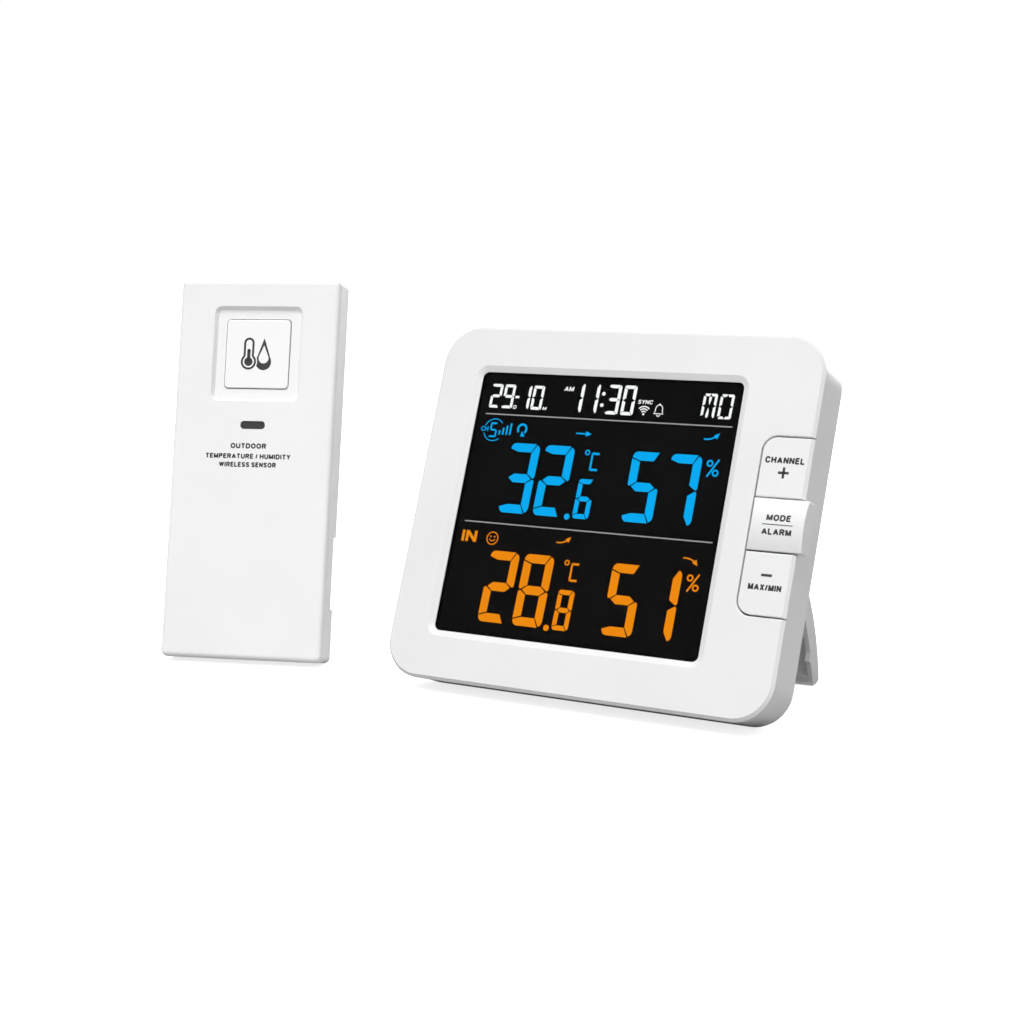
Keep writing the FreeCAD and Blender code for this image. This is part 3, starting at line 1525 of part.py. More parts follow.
doc.recompute()
problems = []
for item in doc.Objects:
    if "Invalid" in item.State or "Error" in item.State:
        problems.append("{} is {}".format(item.Name, item.State))
for item in nodes:
    if item.Shape.isNull() or not item.Shape.isValid() or not item.Shape.Solids:
        problems.append("{} has no valid solid".format(item.Label))
if problems:
    raise RuntimeError("; ".join(problems))

os.makedirs("parts", exist_ok=True)
for item in nodes:
    item.Shape.exportStep("parts/{}.step".format(item.Label))
print("stand opens {:.2f} degrees, prop leg {:.2f} degrees".format(STAND_OPEN, LEG_OPEN))
print(len(nodes), "nodes")
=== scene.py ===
import json
import math

import bmesh
import bpy
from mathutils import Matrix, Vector


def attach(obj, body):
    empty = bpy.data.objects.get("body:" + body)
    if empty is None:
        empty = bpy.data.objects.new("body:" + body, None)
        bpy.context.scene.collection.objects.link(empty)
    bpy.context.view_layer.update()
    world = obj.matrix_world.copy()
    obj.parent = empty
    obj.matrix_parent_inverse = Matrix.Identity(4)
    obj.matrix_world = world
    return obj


# Home weather station: a desk display with a colour read-out and its wireless sensor.
# Lengths in the drawing functions are millimetres in a unit's own frame: x to the viewer's
# right, y from the front face into the unit, z up the face.

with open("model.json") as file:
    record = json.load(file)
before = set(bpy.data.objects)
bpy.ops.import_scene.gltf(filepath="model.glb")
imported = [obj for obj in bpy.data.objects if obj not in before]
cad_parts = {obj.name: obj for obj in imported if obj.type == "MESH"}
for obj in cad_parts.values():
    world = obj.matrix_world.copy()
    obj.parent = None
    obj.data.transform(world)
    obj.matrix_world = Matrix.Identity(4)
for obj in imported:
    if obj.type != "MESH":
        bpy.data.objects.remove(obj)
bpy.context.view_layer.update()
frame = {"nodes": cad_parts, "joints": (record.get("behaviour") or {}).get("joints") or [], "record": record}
NODES = frame["nodes"]
JOINTS = {joint["name"]: joint for joint in frame["joints"]}
MM = 0.001


class Unit:
    """A housing's own frame, from the joints that sit in it."""

    def __init__(self, x_axis, y_axis, z_axis, pivot, pivot_y, pivot_z):
        self.x, self.y, self.z = (Vector(v).normalized() for v in (x_axis, y_axis, z_axis))
        self.origin = Vector(pivot) - self.y * (pivot_y * MM) - self.z * (pivot_z * MM)

    def at(self, x, y, z):
        return self.origin + self.x * (x * MM) + self.y * (y * MM) + self.z * (z * MM)


# Where each leg's pivot sits in its unit: the depth from the front face, and the height.
STAND_PIVOT = (24.0, 24.0)
PROP_PIVOT = (20.4, 54.0)

INTO_DISPLAY = Vector(JOINTS["plus_key_press"]["axis"])
UP_DISPLAY = -Vector(JOINTS["snooze_key_press"]["axis"])
DISPLAY = Unit(
    INTO_DISPLAY.cross(UP_DISPLAY),
    INTO_DISPLAY,
    UP_DISPLAY,
    JOINTS["desk_stand_hinge"]["pos_m"],
    *STAND_PIVOT,
)
INTO_SENSOR = Vector(JOINTS["sensor_battery_door_lift"]["axis"])
RIGHT_SENSOR = Vector(JOINTS["channel_slider_slide"]["axis"])
SENSOR = Unit(
    RIGHT_SENSOR,
    INTO_SENSOR,
    RIGHT_SENSOR.cross(INTO_SENSOR),
    JOINTS["sensor_prop_leg_hinge"]["pos_m"],
    *PROP_PIVOT,
)


# ---------------------------------------------------------------- materials


class Nodes:
    """A material's node tree, with short ways to add to it."""

    def __init__(self, name):
        self.material = bpy.data.materials.new(name)
        self.material.use_nodes = True
        self.tree = self.material.node_tree
        self.tree.nodes.clear()
        self.shader = self.add("ShaderNodeBsdfPrincipled")
        output = self.add("ShaderNodeOutputMaterial")
        self.link(self.shader.outputs[0], output.inputs["Surface"])
        self.place = self.add("ShaderNodeTexCoord").outputs["Object"]

    def add(self, kind):
        return self.tree.nodes.new(kind)

    def link(self, source, target):
        self.tree.links.new(source, target)

    def noise(self, scale, detail=3.0, stretch=None):
        node = self.add("ShaderNodeTexNoise")
        node.inputs["Scale"].default_value = scale
        node.inputs["Detail"].default_value = detail
        source = self.place
        if stretch:
            mapping = self.add("ShaderNodeMapping")
            mapping.inputs["Scale"].default_value = stretch
            self.link(source, mapping.inputs["Vector"])
            source = mapping.outputs[0]
        self.link(source, node.inputs["Vector"])
        return node.outputs["Fac"]

    def ramp(self, source, stops):
        """A change between two colours, stops = [(position, colour), (position, colour)]."""
        node = self.add("ShaderNodeValToRGB")
        for element, (position, colour) in zip(node.color_ramp.elements, stops):
            element.position = position
            element.color = (*colour, 1.0)
        self.link(source, node.inputs["Fac"])
        return node.outputs["Color"]

    def spread(self, source, low, high):
        node = self.add("ShaderNodeMapRange")
        node.inputs["From Min"].default_value = 0.3
        node.inputs["From Max"].default_value = 0.7
        node.inputs["To Min"].default_value = low
        node.inputs["To Max"].default_value = high
        self.link(source, node.inputs["Value"])
        return node.outputs["Result"]

    def bump(self, source, depth, strength=1.0):
        node = self.add("ShaderNodeBump")
        node.inputs["Distance"].default_value = depth
        node.inputs["Strength"].default_value = strength
        self.link(source, node.inputs["Height"])
        self.link(node.outputs["Normal"], self.shader.inputs["Normal"])

    def set(self, name, value):
        self.shader.inputs[name].default_value = value


def shade(colour, factor):
    return tuple(min(1.0, channel * factor) for channel in colour)


def plastic(
    name, colour, rough, grain=1800.0, grain_depth=0.000012, vary=0.02, coat=0.0, specular=0.5
):
    """Moulded plastic: a fine sparked texture, and slow changes of tone and gloss."""
    made = Nodes(name)
    tone = made.noise(28.0, 2.0)
    colours = made.ramp(tone, [(0.3, shade(colour, 1 - vary)), (0.7, shade(colour, 1 + vary))])
    made.link(colours, made.shader.inputs["Base Color"])
    gloss = made.noise(grain * 0.35, 3.0)
    made.link(made.spread(gloss, rough * 0.87, rough * 1.13), made.shader.inputs["Roughness"])
    made.bump(made.noise(grain, 2.0), grain_depth)
    made.set("Specular IOR Level", specular)
    made.set("IOR", 1.49)
    made.set("Coat Weight", coat)
    return made.material


def metal(name, colour, rough, stretch=(1.0, 1.0, 1.0)):
    """Bare metal, with a grain that is finer along an axis that stretch scales up."""
    made = Nodes(name)
    tone = made.noise(600.0, 3.0, stretch)
    made.link(
        made.ramp(tone, [(0.3, shade(colour, 0.85)), (0.7, shade(colour, 1.1))]),
        made.shader.inputs["Base Color"],
    )
    made.link(
        made.spread(made.noise(900.0, 4.0, stretch), rough - 0.08, rough + 0.1),
        made.shader.inputs["Roughness"],
    )
    made.bump(made.noise(2400.0, 2.0, stretch), 0.000006)
    made.set("Metallic", 1.0)
    return made.material


def glow(name, colour, strength):
    """A lit segment: its own light, a little uneven where the backlight is, on dark glass."""
    made = Nodes(name)
    uneven = made.noise(60.0, 1.0)
    colours = made.ramp(uneven, [(0.3, shade(colour, 0.96)), (0.7, colour)])
    unlit = made.ramp(uneven, [(0.3, shade(colour, 0.02)), (0.7, shade(colour, 0.03))])
    made.link(unlit, made.shader.inputs["Base Color"])
    made.link(colours, made.shader.inputs["Emission Color"])
    made.set("Emission Strength", strength)
    made.set("Roughness", 0.6)
    made.set("Specular IOR Level", 0.0)
    return made.material


def clear(name, colour, rough, ior=1.49):
    made = Nodes(name)
    tone = made.noise(40.0, 2.0)
    made.link(
        made.ramp(tone, [(0.3, shade(colour, 0.98)), (0.7, colour)]),
        made.shader.inputs["Base Color"],
    )
    made.link(
        made.spread(made.noise(300.0, 2.0), rough * 0.8, rough * 1.2),
        made.shader.inputs["Roughness"],
    )
    made.set("Transmission Weight", 1.0)
    made.set("IOR", ior)
    return made.material


def board(name):
    """Solder mask over etched copper: mask green, with lighter tracks under it."""
    made = Nodes(name)
    tracks = made.add("ShaderNodeTexVoronoi")
    tracks.feature = "DISTANCE_TO_EDGE"
    tracks.inputs["Scale"].default_value = 260.0
    made.link(made.place, tracks.inputs["Vector"])
    colours = made.ramp(
        tracks.outputs["Distance"],
        [(0.02, (0.05, 0.30, 0.12)), (0.06, (0.02, 0.16, 0.07))],
    )
    made.link(colours, made.shader.inputs["Base Color"])
    made.link(made.spread(made.noise(700.0), 0.25, 0.38), made.shader.inputs["Roughness"])
    made.bump(tracks.outputs["Distance"], 0.00002, 0.4)
    return made.material


PAINT = {
    "shell_white": plastic("shell_plastic", (0.80, 0.80, 0.806), 0.38),
    "key_white": plastic("key_plastic", (0.815, 0.817, 0.823), 0.34, 2200.0, 0.000008),
    "window_clear": clear("window_acrylic", (0.96, 0.965, 0.97), 0.003, 1.2),
    "lcd_black": plastic(
        "lcd_glass_black", (0.003, 0.0027, 0.0028), 0.1, 600.0, 0.0000005, 0.05, 0.0, 0.06
    ),
    "guide_clear": clear("light_guide_acrylic", (0.93, 0.96, 0.97), 0.12),
    "frame_white": plastic("lcd_frame_plastic", (0.78, 0.78, 0.76), 0.5),
    "board_green": board("board_mask"),
    "chip_black": plastic("moulded_epoxy", (0.02, 0.02, 0.021), 0.42, 1400.0, 0.00002, 0.1),
    "sensor_cell_white": plastic("sensor_cell_plastic", (0.72, 0.72, 0.69), 0.45),
    "antenna_brass": metal("drawn_brass", (0.72, 0.5, 0.22), 0.3, (1.0, 1.0, 6.0)),
    "screw_steel": metal("zinc_steel", (0.55, 0.55, 0.54), 0.32),
    "contact_chrome": metal("nickel_plate", (0.72, 0.71, 0.69), 0.2),
    "cell_can": plastic("cell_wrap", (0.05, 0.055, 0.065), 0.25, 900.0, 0.000004, 0.08, 0.5),
    "icon_gloss": plastic(
        "icon_gloss_white", (0.985, 0.985, 0.985), 0.1, 300.0, 0.000001, 0.01, 0.6
    ),
    "lens_smoke": plastic("lens_smoke", (0.05, 0.05, 0.05), 0.08, 400.0, 0.000003, 0.1, 1.0),
    "led_red": plastic("led_resin", (0.45, 0.03, 0.02), 0.15, 500.0, 0.000003, 0.1, 0.8),
    "gasket_rubber": plastic("gasket_silicone", (0.045, 0.045, 0.045), 0.65, 1200.0, 0.00003, 0.1),
}
PRINT = plastic("pad_print_grey", (0.036, 0.037, 0.04), 0.5, 3000.0, 0.000004, 0.06)
LIT_WHITE = glow("lit_white", (0.93, 0.945, 0.95), 1.06)
LIT_BLUE = glow("lit_blue", (0.0006, 0.397, 0.863), 1.06)
LIT_ORANGE = glow("lit_orange", (0.84, 0.249, 0.003), 1.06)
RULE_GREY = glow("lit_rule_grey", (0.44, 0.43, 0.44), 1.0)
SENSOR_SHELL = plastic("sensor_shell_plastic", (0.90, 0.90, 0.897), 0.36)
SENSOR_SHELL_NODES = (
    "sensor_front_cover",
    "sensor_rear_cover",
    "sensor_battery_door",
    "sensor_prop_leg",
)

for row in frame["record"]["subparts"]:
    paint = PAINT[row["material_slot"]]
    if row["node"] in SENSOR_SHELL_NODES:
        paint = SENSOR_SHELL
    for place in NODES[row["node"]].material_slots:
        place.material = paint


# ---------------------------------------------------------------- drawing on a face


def prism(name, unit, body, shapes, material, y, thick, surface=None):
    """Flat outlines, each a list of (x, z), stood thick proud of depth y, as closed solids."""
    mesh = bpy.data.meshes.new(name)
    made = bmesh.new()
    for shape in shapes:
        turn = sum(a[0] * b[1] - b[0] * a[1] for a, b in zip(shape, shape[1:] + shape[:1]))
        points = shape if turn > 0 else shape[::-1]
        front, back = [], []
        for x, z in points:
            depth = y + (surface(x, z) if surface else 0.0)
            front.append(made.verts.new(unit.at(x, depth - thick, z)))
            back.append(made.verts.new(unit.at(x, depth, z)))
        made.faces.new(front)
        made.faces.new(back[::-1])
        for i in range(len(points)):
            j = (i + 1) % len(points)
            made.faces.new((front[j], front[i], back[i], back[j]))
    bmesh.ops.recalc_face_normals(made, faces=made.faces)
    made.to_mesh(mesh)
    made.free()
    piece = bpy.data.objects.new(name, mesh)
    bpy.context.scene.collection.objects.link(piece)
    mesh.materials.append(material)
    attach(piece, body)


def disc(x, z, radius, count=28):
    turns = [2 * math.pi * i / count for i in range(count)]
    return [(x + radius * math.cos(t), z + radius * math.sin(t)) for t in turns]


def arc(x, z, radius, start, end, count=24):
    """Points from start to end, in degrees anticlockwise from the right."""
    turns = [math.radians(start + (end - start) * i / count) for i in range(count + 1)]
    return [(x + radius * math.cos(t), z + radius * math.sin(t)) for t in turns]


def stroke(points, width):
    """The outline of a line of the given width through the points."""
    left, right = [], []
    for i, point in enumerate(points):
        before = Vector(points[max(i - 1, 0)])
        after = Vector(points[min(i + 1, len(points) - 1)])
        here = Vector(point)
        along = (after - before).normalized()
        side = Vector((-along.y, along.x))
        reach = width / 2
        if 0 < i < len(points) - 1:
            first = (here - before).normalized()
            reach /= max(0.5, Vector((-first.y, first.x)).dot(side))
        left.append(tuple(here + side * reach))
        right.append(tuple(here - side * reach))
    return left + right[::-1]


def band(points, width):
    """A closed line of the given width, as one quad for each of its runs."""
    count = len(points)
    edges = []
    for i, point in enumerate(points):
        before, after = Vector(points[i - 1]), Vector(points[(i + 1) % count])
        along = (after - before).normalized()
        side = Vector((-along.y, along.x)) * (width / 2)
        edges.append((tuple(Vector(point) + side), tuple(Vector(point) - side)))
    shapes = []
    for i in range(count):
        j = (i + 1) % count
        shapes.append([edges[i][0], edges[j][0], edges[j][1], edges[i][1]])
    return shapes


def segments(width, height, line, gap):
    """The seven bars of a digit, in a cell of the given size."""
    middle, half = height / 2, gap / 2
    left_round = [(0.03, 0.66), (0.08, 0.42), (0.22, 0.18), (0.5, 0.0)]
    right_round = [(0.42, 0.13), (0.2, 0.25), (0.06, 0.45), (0.0, 0.7)]
    bars = {}
    bars["a"] = (
        [(p * line, height - q * line) for p, q in left_round]
        + [(width - 0.39 * line - gap, height), (width - line - half, height - line)]
        + [(line, height - line)]
    )
    bars["b"] = (
        [(width - p * line, height - q * line) for p, q in right_round]
        + [(width, middle + 0.3 * line), (width - 0.08 * line, middle + 0.12 * line)]
        + [(width - 0.26 * line, middle + half)]
        + [(width - line, middle + 0.5 * line + half), (width - line, height - line - half)]
    )
    bars["f"] = (
        [(0.0, height - 0.72 * line - half), (0.0, middle + 0.3 * line)]
        + [(0.08 * line, middle + 0.12 * line), (0.26 * line, middle + half)]
        + [(line, middle + 0.5 * line + half), (line, height - line - gap)]
    )
    for upper, lower in (("a", "d"), ("b", "c"), ("f", "e")):
        bars[lower] = [(x, height - z) for x, z in bars[upper]]
    tip = 0.3 * line + gap
    bars["g"] = [
        (tip, middle),
        (line + half, middle + 0.5 * line),
        (width - line - half, middle + 0.5 * line),
        (width - tip, middle),
        (width - line - half, middle - 0.5 * line),
        (line + half, middle - 0.5 * line),
    ]
    return bars


LIT_BARS = {
    "0": "abcdef",
    "1": "bc",
    "2": "abged",
    "3": "abgcd",
    "5": "afgcd",
    "6": "afgecd",
    "7": "abc",
    "8": "abcdefg",
    "9": "abcdfg",
}
SLANT, RIGHT_SLANT = 0.02, 0.009


def digit(sign, x, z, width, height, line, gap, slant=SLANT):
    bars = segments(width, height, line, gap)
    return [
        [(x + p + slant * q, z + q) for p, q in bars[bar]] for bar in LIT_BARS[sign]
    ]


def arrow(points, width, head):
    """A line that ends in a solid triangular head."""
    tip, before = Vector(points[-1]), Vector(points[-2])
    along = (tip - before).normalized()
    side = Vector((-along.y, along.x))
    base = tip - along * head
    line = [tuple(p) for p in points[:-1] if (Vector(p) - tip).length > head] + [tuple(base)]
    return [
        stroke(line, width),
        [tuple(tip), tuple(base + side * head * 0.45), tuple(base - side * head * 0.45)],
    ]


def bow(start, end, lift, count=8):
    """A line from start to end that bends aside by lift at its middle."""
    a, b = Vector(start), Vector(end)
    side = Vector((-(b - a).y, (b - a).x)).normalized()
    points = []
    for i in range(count + 1):
        t = i / count
        points.append(tuple(a.lerp(b, t) + side * (lift * 4 * t * (1 - t))))
    return points


def round_loop(flat_x, flat_z, count=5):
    """A closed loop in the unit square whose corners turn from (flat_x, flat_z) to the sides."""
    points = []
    for right, top in ((1, 1), (0, 1), (0, 0), (1, 0)):
        corner = []
        for i in range(count + 1):
            t = math.radians(90 * i / count)
            x = 1 - flat_x + flat_x * math.cos(t)
            z = 1 - flat_z + flat_z * math.sin(t)
            corner.append((x if right else 1 - x, z if top else 1 - z))
        points += corner if right == top else corner[::-1]
    return points


# Plain capitals: a letter's width beside its height of 1, and the lines down the middle of its
# strokes, from 0 to 1 across and up. A closed letter ends on its first point.
BOWL = [(0.0, 1.0), (0.6, 1.0), (0.86, 0.94), (1.0, 0.76), (0.86, 0.57), (0.6, 0.5), (0.0, 0.5)]
OPEN_ROUND = [(0.98, 0.74), (0.88, 0.9), (0.7, 0.98), (0.5, 1.0), (0.28, 0.95), (0.08, 0.78)]
S_HALF = [(0.94, 0.8), (0.82, 0.94), (0.58, 1.0), (0.32, 0.98), (0.1, 0.88), (0.04, 0.72)]
S_HALF += [(0.16, 0.6), (0.5, 0.5)]
CAPITALS = {
    " ": (0.22, []),
    "/": (0.2, [[(0.0, -0.02), (1.0, 1.02)]]),
    "A": (0.66, [[(0.0, -0.06), (0.5, 1.0)], [(1.0, -0.06), (0.5, 1.0)],
                 [(0.2, 0.28), (0.8, 0.28)]]),
    "C": (0.6, [OPEN_ROUND + [(0.0, 0.5)] + [(x, 1 - z) for x, z in OPEN_ROUND[::-1]]]),
    "D": (0.58, [[(0.0, -0.08), (0.0, 1.08)],
                 [(0.0, 1.0), (0.5, 1.0), (0.78, 0.93), (0.95, 0.74), (1.0, 0.5)]
                 + [(0.95, 0.26), (0.78, 0.07), (0.5, 0.0), (0.0, 0.0)]]),
    "E": (0.46, [[(0.0, -0.08), (0.0, 1.08)], [(0.0, 1.0), (1.08, 1.0)],
                 [(0.0, 0.53), (0.98, 0.53)], [(0.0, 0.0), (1.12, 0.0)]]),
    "H": (0.56, [[(0.0, -0.08), (0.0, 1.08)], [(1.0, -0.08), (1.0, 1.08)],
                 [(0.0, 0.52), (1.0, 0.52)]]),
    "I": (0.0, [[(0.5, -0.08), (0.5, 1.08)]]),
    "L": (0.44, [[(0.0, 1.08), (0.0, -0.08)], [(0.0, 0.0), (1.1, 0.0)]]),
    "M": (0.68, [[(0.0, -0.08), (0.0, 1.08)], [(1.0, -0.08), (1.0, 1.08)],
                 [(0.04, 1.0), (0.5, 0.0)], [(0.96, 1.0), (0.5, 0.0)]]),
    "N": (0.56, [[(0.0, -0.08), (0.0, 1.08)], [(1.0, -0.08), (1.0, 1.08)],
                 [(0.02, 1.0), (0.98, 0.0)]]),
    "O": (0.64, [round_loop(0.5, 0.5) + [(1.0, 0.5)]]),
    "P": (0.52, [[(0.0, -0.08), (0.0, 1.08)], BOWL]),
    "R": (0.56, [[(0.0, -0.08), (0.0, 1.08)], BOWL, [(0.5, 0.5), (1.02, -0.06)]]),
    "S": (0.54, [S_HALF + [(1 - x, 1 - z) for x, z in S_HALF[-2::-1]]]),
    "T": (0.52, [[(-0.05, 1.0), (1.05, 1.0)], [(0.5, -0.08), (0.5, 1.0)]]),
    "U": (0.56, [[(0.0, 1.08), (0.0, 0.32), (0.12, 0.09), (0.36, 0.0), (0.64, 0.0), (0.88, 0.09)]
                 + [(1.0, 0.32), (1.0, 1.08)]]),
    "W": (0.86, [[(0.0, 1.06), (0.25, 0.0)], [(0.25, 0.0), (0.5, 1.0)], [(0.5, 1.0), (0.75, 0.0)],
                 [(0.75, 0.0), (1.0, 1.06)]]),
    "X": (0.54, [[(0.0, -0.06), (1.0, 1.06)], [(0.0, 1.06), (1.0, -0.06)]]),
    "Y": (0.56, [[(0.0, 1.06), (0.5, 0.46)], [(1.0, 1.06), (0.5, 0.46)],
                 [(0.5, 0.5), (0.5, -0.08)]]),
}
LETTER_GAP, LEAN = 0.1, 0.15


def lettering(text, box, weight, lean=0.0):
    """The strokes of a line of capitals, fitted to box = (left, right, bottom, top)."""
    left, right, bottom, top = box
    line = weight * (top - bottom)
    tall = top - bottom - line
    widths = [CAPITALS[letter][0] for letter in text]
    inked = line * sum(1 for letter in text if letter != " ")
    room = right - left - inked
    unit = room / (sum(widths) + LETTER_GAP * (len(text) - 1))
    shapes = []
    x = left
    for letter, width in zip(text, widths):
        for points in CAPITALS[letter][1]:
            placed = [
                (x + line / 2 + p * width * unit + lean * q * tall, bottom + line / 2 + q * tall)
                for p, q in points
            ]
            if points[0] == points[-1]:
                shapes += band(placed[:-1], line)
            else:
                shapes.append(stroke(placed, line))
        x += (width + LETTER_GAP) * unit + (0.0 if letter == " " else line)
    return shapes


# ---------------------------------------------------------------- the read-out

# The read-out is drawn from the middle of the window, and lies in the gap behind it.
WINDOW_X, WINDOW_Z = -4.6, 0.4
LIT_Y, LIT_THICK = 2.58, 0.05
# Each size of digit: its width, height, line and the gap between its bars.
LARGE_DIGIT = (10.4, 22.3, 2.75, 0.42)
TENTHS_DIGIT = (5.6, 12.4, 1.5, 0.3)
PERCENT_DIGIT = (10.2, 21.75, 2.75, 0.42)
CHANNEL_DIGIT = (2.6, 4.8, 0.56, 0.12)
DATE_DIGIT = (3.9, 7.8, 0.92, 0.18)
TIME_DIGIT = (4.3, 9.4, 1.05, 0.2)
# Where the pairs of large digits start, and the heights at which a row's digits stand.
LARGE_LEFTS, PERCENT_LEFTS = (-31.05, -18.8), (11.85, 24.6)
FEET_BLUE, FEET_ORANGE = -2.75, -37.25
# The width of an arrow's line, and of the lines of the small signs.
ARROW_LINE, SIGN_LINE, FINE_LINE = 0.42, 0.3, 0.26


def lit(name, shapes, material):
    moved = [[(x + WINDOW_X, z + WINDOW_Z) for x, z in shape] for shape in shapes]
    prism(name, DISPLAY, "display", moved, material, LIT_Y, LIT_THICK)


def thermal_unit(x, z):
    """The degree ring and the letter C."""
    return band(disc(x + 0.7, z + 5.75, 0.68, 20), 0.42) + [
        [(x + 2.4, z + 5.85), (x + 4.9, z + 5.85), (x + 4.9, z + 5.15), (x + 2.85, z + 5.15)],
        [(x + 2.25, z + 5.65), (x + 2.85, z + 5.05), (x + 2.85, z + 0.9), (x + 2.2, z + 0.25)],
        [(x + 2.4, z + 0.1), (x + 5.0, z + 0.1), (x + 5.0, z + 0.8), (x + 2.95, z + 0.8)],
    ]


def percent(x, z):
    return (
        band(disc(x + 1.05, z + 4.15, 0.82, 20), 0.5)
        + band(disc(x + 3.2, z + 1.3, 0.82, 20), 0.5)
        + [stroke([(x + 0.6, z + 0.05), (x + 3.85, z + 5.4)], 0.5)]
    )


def read_out_row(base, main, small, right):
    """Large and small digits with their units, with the large digits' feet at height base."""
    shapes = []
    for sign, x in zip(main, LARGE_LEFTS):
        shapes += digit(sign, x, base, *LARGE_DIGIT)
    shapes.append(disc(-6.6, base + 0.35, 0.95))
    shapes += digit(small, -4.85, base, *TENTHS_DIGIT)
    shapes += thermal_unit(-4.2, base + 15.0)
    for sign, x in zip(right, PERCENT_LEFTS):
        shapes += digit(sign, x, base + 0.35, *PERCENT_DIGIT, RIGHT_SLANT)
    shapes += percent(36.55, base + 15.75)
    return shapes


blue = read_out_row(FEET_BLUE, "32", "6", "57")
ring, loop = (-38.2, 23.35), (-27.99, 24.1)
blue.append(stroke(arc(*ring, 3.55, 40, 158), 0.28))
blue.append(stroke(arc(*ring, 3.55, 199, 310), 0.28))
blue += digit("5", -39.7, 20.95, *CHANNEL_DIGIT)
for step, top in enumerate((23.3, 24.2, 24.95, 25.75)):
    left = -36.3 + 1.28 * step
    foot = 21.9 + 0.04 * step
    blue.append([(left, foot), (left + 0.57, foot), (left + 0.62, top), (left + 0.05, top)])
blue.append(stroke(arc(*loop, 1.5, 222, -50, 30), 0.66))
blue.append([(loop[0] + x, loop[1] + z) for x, z in ((0.1, -0.65), (-0.3, -2.35), (1.35, -2.35))])
blue += arrow([(-8.6, 23.8), (-3.3, 23.8)], ARROW_LINE, 1.9)
blue += arrow(bow((34.3, 24.45), (39.1, 26.4), -0.75), ARROW_LINE, 1.8)
blue += lettering("CH", (-42.9, -40.3, 22.8, 24.4), 0.16)
lit("readout_outdoor", blue, LIT_BLUE)

orange = read_out_row(FEET_ORANGE, "28", "8", "51")
orange += band(disc(-31.15, -11.2, 1.95, 32), SIGN_LINE)
orange.append(stroke(arc(-31.15, -11.0, 1.05, 205, 335, 12), SIGN_LINE))
for eye in (-31.85, -30.45):
    orange.append(disc(eye, -10.65, 0.27, 12))
orange += arrow(bow((-8.5, -10.55), (-3.75, -8.55), -0.75), ARROW_LINE, 1.8)
orange += arrow(bow((34.3, -11.65), (39.2, -13.7), 0.75), ARROW_LINE, 1.8)
orange += lettering("IN", (-42.3, -36.85, -13.1, -9.1), 0.24)
lit("readout_indoor", orange, LIT_ORANGE)

clock = []
for sign, x in (("2", -41.75), ("9", -37.1), ("1", -31.2), ("0", -26.6)):
    clock += digit(sign, x, 30.55, *DATE_DIGIT)
clock.append([(-32.6, 34.0), (-31.25, 34.0), (-31.25, 34.75), (-32.6, 34.75)])
for sign, x in (("1", -12.9), ("1", -7.55), ("3", -0.15), ("0", 5.05)):
    clock += digit(sign, x, 30.35, *TIME_DIGIT)
for z in (33.15, 36.75):
    clock.append(disc(-1.65, z, 0.6, 16))
clock.append(disc(12.95, 31.0, 0.36, 12))
for radius in (0.95, 1.7, 2.45):
    clock.append(stroke(arc(12.95, 30.95, radius, 45, 135, 12), 0.34))
bell = (
    [(16.35, 31.35), (16.75, 32.0), (16.8, 33.0)]
    + arc(17.95, 33.0, 1.1, 170, 10, 10)
    + [(19.1, 33.0), (19.15, 32.0), (19.55, 31.35)]
)
clock += band(bell, FINE_LINE)
clock.append(stroke(arc(17.95, 31.1, 0.55, 190, 350, 8), FINE_LINE))
clock.append(disc(17.95, 34.3, 0.26, 10))
# The weekday: letter cells have their top and bottom bars in halves and a stem in the middle.
DAY_LEFT, DAY_PITCH, DAY_FOOT = 31.75, 5.45, 30.75
DAY_WIDTH, DAY_HEIGHT, DAY_LINE, DAY_SLANT = 4.45, 7.6, 0.82, 0.03
day_bars = segments(DAY_WIDTH, DAY_HEIGHT, DAY_LINE, 0.2)
half_bar = [(0.45 * DAY_LINE, 0.0), (DAY_WIDTH / 2 - 0.08, 0.0), (DAY_WIDTH / 2 - 0.2, 0.45)]
half_bar += [(DAY_WIDTH / 2 - 0.55, DAY_LINE), (1.15 * DAY_LINE, DAY_LINE), (0.7 * DAY_LINE, 0.6)]
top_halves = [[(x, DAY_HEIGHT - z) for x, z in half_bar]]
top_halves.append([(DAY_WIDTH - x, z) for x, z in top_halves[0]])
foot_halves = [[(x, DAY_HEIGHT - z) for x, z in shape] for shape in top_halves]
day_stem = [
    [(1.8, 6.65), (2.62, 6.65), (2.6, 5.6), (2.2, 4.1), (1.85, 5.4)],
    [(2.1, 3.25), (2.48, 1.9), (2.45, 0.7), (2.2, 0.15), (1.8, 0.2), (1.62, 0.7), (1.7, 1.6)],
]
letters = (
    [day_bars[bar] for bar in "bcef"] + top_halves + day_stem,
    [day_bars[bar] for bar in "bcef"] + top_halves + foot_halves,
)
for i, shapes in enumerate(letters):
    left = DAY_LEFT + DAY_PITCH * i
    clock += [[(left + p + DAY_SLANT * q, DAY_FOOT + q) for p, q in shape] for shape in shapes]
clock += lettering("AM", (-15.7, -12.4, 37.05, 38.6), 0.2, LEAN)
clock += lettering("SYNC", (10.45, 15.45, 34.15, 35.45), 0.2, LEAN)
clock += lettering("D", (-32.75, -31.65, 30.5, 31.7), 0.19, LEAN)
clock += lettering("M", (-22.15, -20.85, 30.6, 31.7), 0.19, LEAN)
lit("readout_clock", clock, LIT_WHITE)
RULE_LEFT, RULE_RIGHT, RULE_HEIGHTS, RULE_WEIGHT = -42.3, 42.7, (28.5, -6.4), 0.32
lit(
    "readout_rules",
    [stroke([(RULE_LEFT, z), (RULE_RIGHT, z)], RULE_WEIGHT) for z in RULE_HEIGHTS],
    RULE_GREY,
)


# ---------------------------------------------------------------- marks on the keys

# The ink stands this far proud, and a letter's line is this part of its height.
PRINT_THICK = 0.03
PRINT_WEIGHT = 0.26
SIGN_LINE_WIDTH = 0.75
